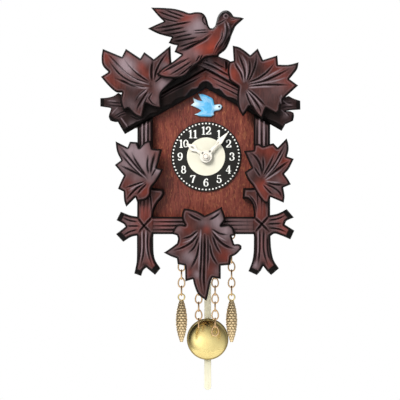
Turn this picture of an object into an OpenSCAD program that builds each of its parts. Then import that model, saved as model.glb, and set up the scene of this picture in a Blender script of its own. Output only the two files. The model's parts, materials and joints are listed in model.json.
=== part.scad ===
// Miniature carved wall clock with a pendulum, decorative chains and cones.
// Millimetres. X to the right, Z up, the front faces -Y and the wall is the plane y = 0.
// The origin is the centre of the hanger hole. Modules are drawn about the dial's centre,
// with depths measured forward from the wall, and place() moves them to the origin.

/* [Case] */
// Height of the hanger hole above the dial's centre
hanger_rise = 32; // [28:1:34]
// Half of the case's outer width
case_half_w = 36; // [36:0.5:38]
// Thickness of the side panels
side_t = 3; // [2.5:0.5:3]
// Depth of the case from the wall to the back of the front panel
case_depth = 44; // [44:0.5:46]
// Thickness of the front panel
panel_t = 4; // [3:0.5:4]
// Level of the case's underside below the dial's centre
case_bottom = -38; // [-40:1:-38]
// Slope of the roof in degrees
roof_slope = 29.5; // [28:0.5:31]
// Height of the roof boards' underside above the dial's centre, at the ridge
ridge_z = 44; // [44:0.5:46]
// Half of the roof boards' span, measured along their underside
roof_half_w = 46; // [44:1:48]

/* [Carvings] */
// Thickness of the carved branches and the roof front boards
branch_t = 8; // [6:0.5:9]
// Thickness of the carved leaves
leaf_t = 6; // [5:0.5:7]

/* [Dial] */
// Radius of the dial disc
dial_r = 22; // [20:0.5:23]
// Radius of the pale disc in the dial's middle
dial_inner_r = 12; // [10:0.5:12.5]
// Height of the hour numerals
numeral_h = 5; // [4:0.25:5.5]
// Length of the minute hand
minute_len = 20.7; // [18:0.1:21]
// Length of the hour hand
hour_len = 15.1; // [13:0.1:16]

/* [Movement] */
// Height of the pendulum's axis above the dial's centre
anchor_z = 24.3; // [24:0.1:24.5]
// Gear module of the going train
train_module = 0.34; // [0.33:0.005:0.35]

/* [Pendulum and chains] */
// Level of the bob's centre below the dial's centre
bob_z = -115.5; // [-118:0.5:-113]
// Radius of the pendulum bob
bob_r = 13.2; // [12:0.1:14]
// Level of the pendulum rod's lower tip
rod_bottom = -147.7; // [-149:0.1:-146]
// Distance from one chain link to the next
link_pitch = 5.1; // [5.05:0.01:5.12]

/* [Hidden] */
$fn = 48;
roof_t = 5;
slope_k = tan(roof_slope);
side_in = case_half_w - side_t;
panel_front = case_depth + panel_t;
branch_front = panel_front + branch_t;
leaf_front = branch_front + leaf_t;
front_board_d = [panel_front, branch_front];
board_low = ridge_z - 1;
board_high = board_low + 12;
wheel_play = 0.05;
pierced_half_l = 1.6;
pierced_half_w = 0.6;

// depths of the back panel, the pendulum and the movement plates
back_panel_d = [9, 11.5];
rod_d = [15.4, 16.6];
back_plate_d = [20, 21.2];
front_plate_d = [36, 37.2];

// arbor places in the dial's plane, worked out from the gears' centre distances
escape_at = [9, 14.5];
anchor_at = [0, anchor_z];
third_at = meet([0, 0], train_module * 91 / 2, escape_at, train_module * 77 / 2);
great_at = 16.8 * [cos(235), sin(235)];
minute_stud_at = [0, -9.6];
pillars_at = [[-23.5, -27], [23.5, -27], [-22, 19], [22, 19]];
panel_screws_at = [[-30, -34], [30, -34], [-30, 15], [30, 15]];
mount_screws_at = [[-28.6, -26], [28.6, -26], [-28.6, 12], [28.6, 12]];
escape_r = 9.4;

// ratchet, click and click spring, about the great wheel's centre
ratchet_r = 5.4;
click_at = polar(9, 60);
click_tip = polar(4.8, 37);
spring_pin_at = polar(9.2, 15);

outer_chain_x = 15.8;
inner_chain_x = 5.2;
outer_chain_d = 39;
inner_chain_d = 32;
eye_r = 1.65;
eye_z = case_bottom - 7;
wire_r = 0.45;
link_play = 0.06;
link_w = 5;
link_l = link_pitch + 4 * wire_r + link_play;
chain_top = eye_z - eye_r + 3 * wire_r + link_play / 2;
outer_links = 8;
cone_len = 25.6;

// ---- placing and shared shapes ----

module place() {
    translate([0, 0, -hanger_rise]) children();
}

// a flat outline in the dial's plane, extruded between two depths from the wall
module slab(d) {
    translate([0, -d[0], 0]) rotate([90, 0, 0]) linear_extrude(d[1] - d[0]) children();
}

module slab_at(d, at) {
    slab(d) translate(at) children();
}

// a round bar along the depth axis
module bar(r, d, at = [0, 0]) {
    translate([at[0], -d[0], at[1]]) rotate([90, 0, 0]) cylinder(r = r, h = d[1] - d[0]);
}

module mirror_x() {
    mirror([1, 0, 0]) children();
}

function polar(r, a) = [r * cos(a), r * sin(a)];
function roof_line(level, x) = [x, level - slope_k * abs(x)];

// the point at two distances from two centres, to the right of the line between them
function meet(a, ra, b, rb) =
    let (
        v = b - a,
        l = norm(v),
        turn = acos((ra * ra + l * l - rb * rb) / (2 * ra * l))
    )
    a + polar(ra, atan2(v[1], v[0]) - turn);

function arc(c, r, a0, a1, n = 8) = [
    for (i = [0 : n]) let (a = a0 + (a1 - a0) * i / n) c + [r[0] * cos(a), r[1] * sin(a)]];

// a stroke of even width along a path
function ribbon(p, w) =
    let (
        last = len(p) - 1,
        side = [for (i = [0 : last])
            let (t = p[min(i + 1, last)] - p[max(i - 1, 0)])
            [-t[1], t[0]] / norm(t) * w / 2]
    )
    concat([for (i = [0 : last]) p[i] - side[i]], [for (i = [last : -1 : 0]) p[i] + side[i]]);

// involute gear: half of a tooth's angle at a radius, then the outline
function involute(a) = tan(a) * 180 / PI - a;
function tooth_half(z, rp, thin, r) =
    90 / z - thin / 2 / rp * 180 / PI + involute(20) - involute(acos(min(1, rp * cos(20) / r)));
function gear_points(z, m, add = 0.7, ded = 1.2) =
    let (
        rp = m * z / 2,
        base = rp * cos(20),
        root = rp - ded * m,
        tip = rp + add * m,
        radii = root < base ? [root, base, tip] : [root, tip],
        last = len(radii) - 1
    )
    [for (i = [0 : z - 1]) each concat(
        [for (r = radii) polar(r, 360 * i / z - tooth_half(z, rp, 0.3 * m, max(r, base)))],
        [for (k = [last : -1 : 0])
            polar(radii[k], 360 * i / z + tooth_half(z, rp, 0.3 * m, max(radii[k], base)))])];

// a gear whose tooth (or, with gap, whose tooth space) points along an angle
module gear(z, m, point_to, gap = false, pinion = false) {
    rotate(point_to + (gap ? 180 / z : 0))
        polygon(pinion ? gear_points(z, m, 0.8, 1.1) : gear_points(z, m));
}

function heading(from, to) = atan2(to[1] - from[1], to[0] - from[0]);

// a wheel's body with round windows between its arms
module spoked_rim(rim_r, hub_r, arms) {
    difference() {
        circle(rim_r);
        circle(hub_r);
        for (i = [0 : arms - 1]) rotate(360 / arms * (i + 0.5))
            square([2.2 * rim_r, rim_r * 0.14], center = true);
    }
}

// ---- case ----

module gable(half_w, low, high) {
    polygon([[-half_w, low], [half_w, low], roof_line(high, half_w), [0, high],
        roof_line(high, -half_w)]);
}

module front_panel() {
    color("saddlebrown") slab([case_depth, panel_front]) difference() {
        gable(case_half_w, case_bottom - 3, ridge_z);
        circle(3.4);
    }
}

module side_panel() {
    color("maroon") slab([0, case_depth]) polygon([
        [side_in, case_bottom], [case_half_w, case_bottom],
        roof_line(ridge_z, case_half_w), roof_line(ridge_z, side_in)]);
}

module side_panel_right() {
    side_panel();
}

module side_panel_left() {
    mirror_x() side_panel();
}

module bottom_board() {
    color("maroon") difference() {
        slab([0, case_depth]) translate([-case_half_w, case_bottom - 3])
            square([2 * case_half_w, 3]);
        translate([-10, -19.5, case_bottom - 4]) cube([20, 7, 5]);
        screw_eye_shanks();
    }
}

module back_panel() {
    color("peru") slab(back_panel_d) difference() {
        gable(side_in, case_bottom, ridge_z);
        translate(great_at) circle(3.4);
        for (at = panel_screws_at) translate(at) circle(0.8);
        for (x = [-7, 7]) translate([x, hanger_rise]) circle(0.7);
    }
}

module roof_board() {
    color("maroon") slab([0, panel_front]) polygon([
        [0, ridge_z], roof_line(ridge_z, roof_half_w),
        roof_line(ridge_z, roof_half_w) + roof_t * [sin(roof_slope), cos(roof_slope)],
        [0, ridge_z + roof_t / cos(roof_slope)]]);
}

module roof_right() {
    roof_board();
}

module roof_left() {
    mirror_x() roof_board();
}

module hanger_rail() {
    color("peru") difference() {
        slab([1.2, back_panel_d[0]]) gable(side_in, 22, ridge_z);
        bar(4.6, [1, 6.2], [0, hanger_rise]);
        bar(4.6, [1, 6.2], [0, hanger_rise + 3]);
        for (x = [-7, 7]) bar(0.7, [1, 10], [x, hanger_rise]);
    }
}

module hanger_plate() {
    color("goldenrod") difference() {
        slab([0, 1.2]) translate([-10, hanger_rise - 6]) square([20, 11.4]);
        bar(3, [-1, 2], [0, hanger_rise]);
        bar(1.4, [-1, 2], [0, hanger_rise + 3]);
        translate([-1.4, -2, hanger_rise]) cube([2.8, 3, 3]);
        for (x = [-7, 7]) {
            bar(0.7, [-1, 2], [x, hanger_rise]);
            bar(1.7, [-1, 0.6], [x, hanger_rise]);
        }
    }
}

module case_screws() {
    color("goldenrod") {
        for (x = [-7, 7]) {
            bar(1.7, [0, 0.6], [x, hanger_rise]);
            bar(0.7, [0.6, 10.5], [x, hanger_rise]);
        }
        for (at = panel_screws_at) {
            bar(1.7, [8.1, back_panel_d[0]], at);
            bar(0.8, [back_panel_d[0], 15.5], at);
        }
    }
}

// four upright strips in the case's corners that hold the movement and the back panel
module battens() {
    color("burlywood") for (s = [-1, 1]) {
        difference() {
            slab([back_panel_d[1], 18.5]) translate([s * (side_in - 3), -9])
                square([6, 2 * (-9 - case_bottom)], center = true);
            for (at = panel_screws_at) bar(0.8, [9, 15.5], at);
        }
        difference() {
            slab([front_plate_d[1], case_depth]) translate([s * (side_in - 3.5), -9])
                square([7, 2 * (-9 - case_bottom)], center = true);
            for (at = mount_screws_at) bar(0.8, [36, 42], at);
        }
    }
}

// ---- carved front ----

module front_board(eave) {
    tip = roof_line(board_low, eave);
    polygon([[0, board_low], tip,
        tip + (board_high - board_low) * cos(roof_slope) * [sin(roof_slope), cos(roof_slope)],
        [0, board_high]]);
}

module roof_front_right() {
    color("maroon") union() {
        slab(front_board_d) front_board(47.5);
        slab(front_board_d) polygon([[59.2, 35], [59.3, 29.5], [52.5, 29], [44, 27], [40, 31],
            [44, 35], [52, 38], [55, 36.4]]);
        slab(front_board_d) polygon([[52.5, 28.5], [55, 27.5], [55.3, 25.5], [54.7, 22.5],
            [50.5, 20.5], [47, 20], [46, 28]]);
    }
}

module roof_front_left() {
    color("maroon") union() {
        slab(front_board_d) mirror_x() front_board(51);
        slab(front_board_d) polygon([[-55, 40], [-58, 38], [-62, 37], [-66.3, 36.7],
            [-66.3, 31.5], [-60, 30.5], [-50, 27], [-44, 27], [-42, 33]]);
        slab(front_board_d) polygon([[-59.5, 30], [-61, 25], [-60, 22.5], [-57, 21.7],
            [-52, 22], [-49, 26]]);
    }
}

module leaf(outline) {
    color("sienna") slab([branch_front, leaf_front]) polygon(outline);
}

module top_leaf_left() {
    leaf([[-64.5, 67.5], [-52.5, 62.5], [-50, 67.5], [-41, 61.5], [-38.5, 65.5], [-32.5, 61],
        [-22, 69.5], [-21.5, 60], [-19.5, 48], [-27, 40.5], [-28, 38], [-27.5, 29.5],
        [-33, 31], [-37.5, 33], [-39.5, 23.7], [-44, 25.5], [-48.5, 30], [-51.5, 28.5],
        [-53.5, 35], [-52.5, 40], [-56, 40.3], [-61, 44.5], [-65.7, 50], [-61, 53],
        [-64.5, 57], [-65.3, 62]]);
}

module top_leaf_right() {
    leaf([[17, 69.5], [21, 68.5], [25, 66], [28, 63.5], [32.7, 67.7], [36, 60.5], [45, 63.3],
        [45.5, 57.5], [52, 57.5], [58.3, 59], [57.5, 55], [55, 51.5], [52.5, 48.5],
        [58, 44.5], [52, 39], [49, 36], [47.5, 33], [46.5, 28], [44, 26.5], [38, 30],
        [35.5, 23], [32, 26.5], [29, 31], [27.5, 31], [26, 28.5], [23.5, 25], [21.5, 28],
        [20, 33], [20, 40], [20.5, 43.5], [15, 47.5], [13.8, 53], [14.5, 59.3], [17.6, 60]]);
}

module middle_leaf_left() {
    leaf([[-56.5, 9.5], [-49, 5.7], [-47.5, 9.3], [-43, 9], [-41.5, 5.5], [-38, 9],
        [-34.5, 10], [-33.2, 5], [-27.3, 4.5], [-28.5, 0], [-29.5, -4], [-30.5, -7],
        [-26.5, -8], [-28.5, -12], [-31, -16], [-34, -20], [-34.5, -24], [-37, -27],
        [-43, -28.5], [-44, -25.7], [-49.8, -31.5], [-51, -28], [-51.5, -22], [-55, -20.3],
        [-53, -15.5], [-51.3, -12], [-57, -5.3], [-53, -2.3], [-55.5, 3]]);
}

module middle_leaf_right() {
    leaf([[50.8, 11.3], [45.2, 5.5], [42.5, 8.3], [36, 6.5], [33, 8], [30.5, 7.5], [30, 4],
        [24, 3.5], [26, -1], [28.7, -7], [24.5, -9.8], [25.2, -12], [27, -15.5],
        [29.5, -18.5], [31.5, -22], [34, -26], [37, -29], [39.7, -29.5], [40.7, -25.5],
        [49, -29], [49.5, -25], [48.7, -19.5], [53.5, -17.5], [51.5, -14], [49.3, -11],
        [52, -8], [55.3, -1.5], [51, 0], [52, 4], [51.8, 8]]);
}

module bottom_leaf() {
    leaf([[-0.5, -37], [-5, -34.5], [-10, -33], [-13.5, -32.5], [-14.8, -36], [-14.5, -40],
        [-13, -43], [-16, -42.5], [-18.5, -43.5], [-21.5, -48.5], [-18, -49.5],
        [-17.3, -51.5], [-18, -54.5], [-22, -57.5], [-26.2, -60.3], [-22, -62.5], [-18, -64],
        [-17.5, -67.5], [-13, -68.5], [-12.8, -73], [-12.7, -78.3], [-8, -77], [-7, -81],
        [-4.5, -86.5], [0.5, -90.5], [1.5, -87], [2.5, -82], [3.5, -78], [4.5, -76],
        [9.5, -76.8], [9.5, -68.5], [15.5, -68], [16, -63], [19, -61.5], [22.5, -58],
        [22.5, -56], [21, -55], [18, -55], [16, -53], [15, -49.7], [18.7, -49.5],
        [17.5, -45], [15, -42.5], [10, -43.3], [12.5, -40], [12, -37], [10, -31.5],
        [5, -34.5]]);
}

module crest_log() {
    color("maroon") slab([panel_front, branch_front]) polygon([
        roof_line(board_high, -27), [0, board_high], roof_line(board_high, 24), [24, 49],
        [15, 60], [8, 63], [6, 66], [0, 66], [-5, 60], [-9, 56.5], [-14, 53], [-20, 50],
        [-27, 45]]);
}

module carved_bird() {
    color("sienna") union() {
        slab([leaf_front, leaf_front + 5]) polygon([
            [-34, 93.3], [-25, 93.3], [-14, 91], [-10, 89.7], [-6, 90.3], [-2, 89.8], [0, 88],
            [2, 82], [3, 80.2], [4.5, 80.2], [6, 81.5], [6.8, 84], [9, 89.5], [11, 91],
            [14, 91.3], [16, 90], [17.5, 87.7], [22, 87], [24.2, 86.3], [22, 84.3],
            [19.5, 82], [18, 80], [16.3, 76], [15, 72], [12.5, 67], [8.8, 64], [8, 62.5],
            [0, 61.5], [-4, 58], [-8, 55.5], [-12, 50.5], [-18, 48.7], [-27, 49.5],
            [-30.5, 51.5], [-27, 55], [-20, 59.5], [-15, 63.5], [-19.3, 65.3], [-17.5, 69.5],
            [-20, 70], [-23, 71], [-21, 74.5], [-30, 77], [-36, 80], [-26, 84.5], [-30, 88.5]]);
        slab([branch_front, leaf_front + 8]) polygon([
            [0, 84], [3, 80.2], [4.5, 80.2], [6, 81.5], [6.8, 84], [9, 89.5], [11, 91],
            [14, 91.3], [16, 90], [17.5, 87.7], [19, 83], [18, 80], [16.3, 76], [15, 72],
            [12.5, 67], [8.8, 64], [8, 62.5], [0, 61.5], [-4, 58], [-8, 57], [-12, 60],
            [-8, 70], [-4, 80]]);
    }
}

module branch_left() {
    color("maroon") slab([panel_front, branch_front]) polygon([
        roof_line(board_low, -33.3), [-33.3, -19.7], [-26.7, -20.5], [-26, -23],
        [-27, -25.5], [-30, -29], [-32.5, -34], [-33, -37.8], [-33, -60], [-32, -65],
        [-28.7, -70.3], [-32, -74.3], [-37.5, -69.7], [-39.5, -71.5], [-40.8, -75],
        [-45, -73.5], [-43.5, -66], [-43.3, -49.7], [-47, -50.5], [-52, -53.5],
        [-56.5, -48.7], [-50.5, -44], [-51.5, -42.5], [-56.2, -40], [-53.5, -34.7],
        [-48, -36.8], [-43.2, -37.7], roof_line(board_low, -43)]);
}

module branch_right() {
    color("maroon") slab([panel_front, branch_front]) polygon([
        roof_line(board_low, 30), [30, -19.7], [23.5, -19.7], [23, -26.5], [26.5, -27],
        [29, -30], [30, -35], [30, -60], [29, -66], [26.7, -72], [32, -74.4], [34.5, -71.5],
        [36, -68.7], [38.5, -72], [41, -74.4], [45.8, -70.3], [42.5, -65], [41, -58],
        [40.5, -50], [43, -48.5], [47, -49.5], [53, -52], [55.5, -46.5], [49.5, -42.7],
        [50.5, -40.5], [55.2, -38.3], [50.7, -33], [45, -35.8], [40.3, -36.8],
        roof_line(board_low, 40.3)]);
}

module bottom_log() {
    color("maroon") slab([panel_front, branch_front]) translate([-33, -48.8])
        square([63, 11]);
}

module blue_bird() {
    color("skyblue") slab([panel_front, panel_front + 2]) polygon([
        [-5.2, 39.8], [-1, 39], [2, 37.8], [4.5, 36], [5, 34], [5.3, 32.7], [9, 33],
        [10.3, 31.7], [9.5, 29.7], [7.5, 28.8], [5.5, 28.5], [5, 27.5], [5.2, 26], [3, 25],
        [-4, 25.3], [-7.6, 26.5], [-5, 27.5], [-3, 28.7], [-4, 29.5], [-7, 31],
        [-9.9, 32.3], [-7.5, 34], [-8.5, 37.3], [-5, 35.5], [-2.5, 35], [-4, 37.5]]);
}

// ---- dial and hands ----

module dial_disc() {
    color("black") slab([panel_front, panel_front + 1.2]) difference() {
        circle(dial_r, $fn = 96);
        circle(2.8);
    }
}

module dial_centre() {
    color("ivory") slab([panel_front + 1.2, panel_front + 1.5]) difference() {
        circle(dial_inner_r, $fn = 96);
        circle(2.8);
    }
}

// a closed oval stroke
module loop(c, r, w) {
    difference() {
        polygon(arc(c, r + [w, w] / 2, 0, 337.5, 15));
        polygon(arc(c, r - [w, w] / 2, 0, 337.5, 15));
    }
}

// open strokes of each figure in a box one unit high, centred on its own middle
figures = [
    [],
    [[[0.03, -0.5], [0.03, 0.5]], [[0.03, 0.42], [-0.2, 0.3]], [[-0.2, -0.45], [0.26, -0.45]]],
    [concat(arc([0, 0.2], [0.24, 0.24], 170, -45, 7), [[-0.24, -0.4]]),
        [[-0.3, -0.42], [0.34, -0.42]]],
    [arc([0, 0.22], [0.2, 0.21], 160, -80, 7), arc([0, -0.2], [0.24, 0.24], 80, -160, 8)],
    [[[0.1, -0.5], [0.1, 0.5]], [[0.08, 0.42], [-0.3, -0.2]], [[-0.34, -0.2], [0.34, -0.2]]],
    [[[0.26, 0.42], [-0.22, 0.42]], [[-0.17, 0.42], [-0.2, 0.02]],
        arc([0, -0.17], [0.24, 0.26], 130, -150, 9)],
    [arc([0.12, -0.1], [0.35, 0.53], 90, 180, 6)],
    [[[-0.3, 0.42], [0.3, 0.42]], [[0.24, 0.4], [-0.1, -0.5]]],
    [],
    [arc([-0.12, 0.1], [0.35, 0.53], -90, 0, 6)]];
stroke_w = 0.15;

module figure(n) {
    for (stroke = figures[n]) polygon(ribbon(stroke, stroke_w));
    if (n == 0) loop([0, 0], [0.27, 0.43], stroke_w);
    if (n == 6) loop([0, -0.18], [0.23, 0.25], stroke_w);
    if (n == 9) loop([0, 0.18], [0.23, 0.25], stroke_w);
    if (n == 8) {
        loop([0, 0.22], [0.2, 0.21], stroke_w);
        loop([0, -0.2], [0.24, 0.23], stroke_w);
    }
}

module hour_number(n) {
    if (n < 10) {
        figure(n);
    } else {
        translate([-0.34, 0]) figure(1);
        translate([0.3, 0]) figure(n - 10);
    }
}

module dial_numerals() {
    face = [panel_front + 1.2, panel_front + 1.35];
    color("white") {
        for (n = [1 : 12]) slab_at(face, polar(16.3, 90 - 30 * n))
            scale(numeral_h) hour_number(n);
        for (i = [0 : 59]) bar(0.5, face, polar(20.8, 6 * i));
    }
}

// a broad-bladed hand along an angle, with a diamond pierced through its blade
module hand(length, widest_at, half_w, clock_angle, pierced_at) {
    rotate(-clock_angle) difference() {
        union() {
            circle(3.9);
            polygon([[1.3, 3], [0.9, widest_at - 3], [half_w, widest_at], [0, length],
                [-half_w, widest_at], [-0.9, widest_at - 3], [-1.3, 3]]);
        }
        translate([0, pierced_at]) polygon([[0, -pierced_half_l], [-pierced_half_w, 0],
            [0, pierced_half_l], [pierced_half_w, 0]]);
        children();
    }
}

module hour_hand() {
    color("ivory") slab([50.1, 50.8]) hand(hour_len, 9.6, 2.3, 303.5, 10.2) circle(2.2);
}

module minute_hand() {
    color("ivory") slab([51.7, 52.4]) hand(minute_len, 12.4, 2.5, 42.5, 10.8) circle(1.5);
}

module hand_nut() {
    color("gold") union() {
        slab([52.4, 53.6]) difference() {
            circle(2.4);
            circle(1);
        }
        bar(1.6, [53.6, 54.2]);
    }
}

// ---- movement ----

module plate_outline() {
    polygon([[-30.5, -31], [30.5, -31], [30.5, 16], [14, 31], [-14, 31], [-30.5, 16]]);
}

module pillar_holes() {
    for (at = pillars_at) translate(at) circle(0.9);
}

module front_plate() {
    color("gold") union() {
        slab(front_plate_d) difference() {
            plate_outline();
            pillar_holes();
            for (at = mount_screws_at) translate(at) circle(0.8);
            circle(0.9 + wheel_play);
            translate(third_at) circle(0.5 + wheel_play);
            translate(escape_at) circle(0.4 + wheel_play);
            translate(anchor_at) circle(0.5 + wheel_play);
            translate(great_at) circle(0.9 + wheel_play);
        }
        bar(0.95, [front_plate_d[1], 43.4], minute_stud_at);
        bar(1.5, [42.9, 43.4], minute_stud_at);
    }
}

module back_plate() {
    color("gold") slab(back_plate_d) difference() {
        plate_outline();
        pillar_holes();
        for (x = [-9, 9]) translate([x, 28]) circle(0.9);
        circle(0.6 + wheel_play);
        translate(third_at) circle(0.5 + wheel_play);
        translate(escape_at) circle(0.4 + wheel_play);
        translate(anchor_at) circle(0.9 + wheel_play);
        translate(great_at) circle(1.6 + wheel_play);
    }
}

module pillars() {
    color("gold") for (at = pillars_at) {
        bar(1.8, [back_plate_d[1], front_plate_d[0]], at);
        bar(0.9, [19, back_plate_d[1]], at);
        bar(0.9, [front_plate_d[0], 38.2], at);
    }
}

// nuts on the pillars' ends, and the wood screws into the battens
module movement_screws() {
    color("silver") {
        for (at = pillars_at, d = [[19, 20], [37.2, 38.2]]) slab_at(d, at) difference() {
            circle(1.9, $fn = 6);
            circle(0.9);
        }
        for (at = mount_screws_at) {
            bar(1.6, [35.2, 36], at);
            bar(0.8, [36, 42], at);
        }
    }
}

// an arbor with thinner pivots that run in the two plates
module arbor(r, pivot_r, at) {
    bar(r, [back_plate_d[1] + 0.15, front_plate_d[0] - 0.15], at);
    bar(pivot_r, [back_plate_d[0] - 0.1, front_plate_d[1] + 0.1], at);
}

module centre_arbor() {
    color("silver") union() {
        bar(0.6, [back_plate_d[0] - 0.1, 22]);
        bar(1.2, [back_plate_d[1] + 0.15, front_plate_d[0] - 0.15]);
        bar(0.9, [35, 53.6]);
        slab([28.6, 31.8]) gear(12, 0.4, heading([0, 0], great_at), gap = true, pinion = true);
    }
}

module centre_wheel() {
    color("gold") slab([32.4, 33.3]) difference() {
        gear(84, train_module, heading([0, 0], third_at));
        spoked_rim(12.4, 3, 4);
        circle(1.2);
    }
}

module cannon_pinion() {
    color("gold") difference() {
        union() {
            slab([37.9, 39.5]) gear(12, 0.4, -90, gap = true, pinion = true);
            bar(1.5, [39.5, 52.4]);
        }
        bar(0.9, [37, 53]);
    }
}

module minute_wheel() {
    color("gold") translate([minute_stud_at[0], 0, minute_stud_at[1]]) difference() {
        union() {
            slab([38.2, 39.2]) difference() {
                gear(36, 0.4, 90);
                spoked_rim(5.8, 2.6, 3);
            }
            slab([39.2, 42.3]) gear(10, 0.384, 90, gap = true, pinion = true);
        }
        bar(0.95 + wheel_play, [38, 43]);
    }
}

module hour_wheel() {
    color("gold") difference() {
        union() {
            slab([40.6, 41.6]) difference() {
                gear(40, 0.384, -90);
                spoked_rim(6.2, 2.9, 4);
            }
            bar(2.2, [40.2, 50.8]);
        }
        bar(1.58, [40, 51]);
    }
}

module third_wheel() {
    color("gold") translate([third_at[0], 0, third_at[1]]) union() {
        difference() {
            slab([24, 24.8]) gear(70, train_module, heading(third_at, escape_at));
            slab([23, 25.5]) spoked_rim(9.9, 2.8, 4);
        }
        arbor(0.8, 0.5, [0, 0]);
        slab([31.6, 34.2])
            gear(7, train_module, heading(third_at, [0, 0]), gap = true, pinion = true);
    }
}

module escape_wheel() {
    color("gold") translate([escape_at[0], 0, escape_at[1]]) union() {
        difference() {
            slab([27, 27.8]) polygon([for (i = [0 : 39]) each [
                polar(escape_r - 1.1, 9 * i), polar(escape_r, 9 * i + 1.4),
                polar(escape_r, 9 * i + 2.2), polar(escape_r - 1.1, 9 * i + 5)]]);
            slab([26, 29]) spoked_rim(7.2, 2.4, 4);
        }
        arbor(0.8, 0.4, [0, 0]);
        slab([23.2, 25.6])
            gear(7, train_module, heading(escape_at, third_at), gap = true, pinion = true);
    }
}

module great_wheel() {
    color("gold") translate([great_at[0], 0, great_at[1]]) slab([29.6, 30.8]) difference() {
        gear(72, 0.4, heading(great_at, [0, 0]));
        spoked_rim(12.3, 10.4, 6);
        circle(1.6 + wheel_play);
        translate(click_at) circle(0.6);
        translate(spring_pin_at) circle(0.5);
    }
}

// the winding arbor with its spring core, ratchet teeth and square end
module winding_arbor() {
    color("silver") translate([great_at[0], 0, great_at[1]]) union() {
        slab([12.6, 20]) square(2.2, center = true);
        bar(1.6, [19.5, 22]);
        bar(2.6, [21.5, 27.9]);
        bar(1.6, [27.5, 34.5]);
        bar(0.9, [34, front_plate_d[1] + 0.1]);
        slab([28.2, 29.2]) polygon([for (i = [0 : 11]) each [
            polar(ratchet_r, 30 * i), polar(ratchet_r - 1.2, 30 * i + 1)]]);
        bar(2.3, [31, 31.6]);
    }
}

// the click rides on the great wheel and drops between the ratchet's teeth
module click() {
    color("silver") translate([great_at[0], 0, great_at[1]]) union() {
        slab([28.2, 29.2]) polygon([click_at + polar(1.2, 180), click_tip,
            click_at + polar(1.2, -10)]);
        bar(1.5, [28.2, 29.2], click_at);
        bar(0.55, [29.2, 30.8], click_at);
    }
}

module click_spring() {
    color("silver") translate([great_at[0], 0, great_at[1]]) union() {
        bar(0.5, [28.2, 30.8], spring_pin_at);
        slab([28.4, 29]) polygon(ribbon([spring_pin_at, [7.9, 4.4], [6.6, 5.6]], 0.3));
    }
}

// open mainspring around the winding arbor, its outer end looped on a pillar
module mainspring() {
    turns = 7;
    steps = 18 * turns;
    coil = [for (i = [0 : steps]) polar(3.3 + 10.2 * i / steps, 200 + 20 * i)];
    color("slategray") union() {
        slab([22.2, 27.2]) translate(great_at) polygon(ribbon(coil, 0.35));
        slab([22.2, 27.2]) polygon(ribbon([great_at + coil[steps], pillars_at[0] + [0, 2]], 0.5));
        slab_at([22.2, 27.2], pillars_at[0]) difference() {
            circle(2.4);
            circle(1.85);
        }
    }
}

module winding_key() {
    color("gold") translate([great_at[0], 0, great_at[1]]) difference() {
        union() {
            bar(2.6, [6.5, 18.6]);
            for (s = [-1, 1]) translate([s * 5, -5.2, 0]) cylinder(r = 3.2, h = 1.4, center = true);
            translate([-4, -6.8, -0.7]) cube([8, 2.4, 1.4]);
        }
        for (s = [-1, 1]) translate([s * 5.2, -5.2, 0]) cylinder(r = 1.6, h = 3, center = true);
        slab([12.4, 19]) square(2.2, center = true);
    }
}

// two pallets held clear of the escape wheel's teeth over the whole swing
module anchor() {
    line = heading(escape_at, anchor_at);
    gap = 1.1;
    color("silver") union() {
        slab([26.8, 28]) difference() {
            union() {
                translate(anchor_at) circle(2.2);
                for (s = [-1, 1]) {
                    foot = escape_at + polar(escape_r + gap, line + 45 * s);
                    shoulder = escape_at + polar(escape_r + gap + 2.4, line + 45 * s);
                    polygon([anchor_at + polar(1.8, line - 90 * s), foot, shoulder,
                        anchor_at + polar(2, line)]);
                }
            }
            translate(anchor_at) circle(0.7);
        }
        bar(0.9, [back_plate_d[1] + 0.15, front_plate_d[0] - 0.15], anchor_at);
        bar(0.5, [front_plate_d[0] - 0.5, front_plate_d[1] + 0.1], anchor_at);
        bar(0.9, [17.9, 22], anchor_at);
    }
}

// drives the rod through the pin in its slot
module crutch() {
    color("silver") translate([0, 0, anchor_z]) union() {
        slab([17.9, 18.9]) difference() {
            union() {
                circle(2);
                translate([-0.7, -23]) square([1.4, 22]);
            }
            circle(0.9);
        }
        bar(0.5, [14.8, 17.9], [0, -22]);
    }
}

module pendulum_cock() {
    color("gold") union() {
        slab([12.7, 13.8]) union() {
            translate([-10.5, 26.6]) square([21, 3]);
            translate([-2.5, anchor_z - 2]) square([5, 5]);
        }
        bar(0.9, [13.8, 17.3], anchor_at);
        for (x = [-9, 9]) {
            bar(1.4, [13.8, back_plate_d[0]], [x, 28]);
            bar(0.9, [back_plate_d[0], back_plate_d[1]], [x, 28]);
            bar(1.3, [12, 12.7], [x, 28]);
        }
    }
}

// ---- pendulum ----

module pendulum_rod() {
    color("khaki") slab(rod_d) difference() {
        union() {
            translate(anchor_at) circle(2.6);
            polygon([[-2.15, anchor_z], [-2.15, rod_bottom + 1.4], [-0.9, rod_bottom],
                [0.9, rod_bottom], [2.15, rod_bottom + 1.4], [2.15, anchor_z]]);
        }
        translate(anchor_at) circle(0.9 + wheel_play);
        translate([0, anchor_z - 22]) square([1.4, 6], center = true);
    }
}

module bob_shell() {
    dome = arc([0, 0], [bob_r, 5.2], 0, 90, 10);
    inner = arc([0, 0], [bob_r - 0.7, 4.6], 90, 0, 10);
    color("gold") translate([0, -17.6, bob_z]) rotate([90, 0, 0])
        rotate_extrude($fn = 96) polygon(concat(dome, inner));
}

// backing disc with two straps that slide on the rod
module bob_back() {
    color("gold") union() {
        bar(bob_r - 0.1, [17.1, 17.6], [0, bob_z]);
        for (z = [bob_z - 7, bob_z + 7]) {
            for (s = [-1, 1]) translate([s * 2.8, -17.1, z]) translate([-0.5, 0, -2])
                cube([1, 3, 4]);
            translate([-3.3, -14.9, z - 2]) cube([6.6, 0.8, 4]);
        }
    }
}

// ---- chains and cones ----

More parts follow.
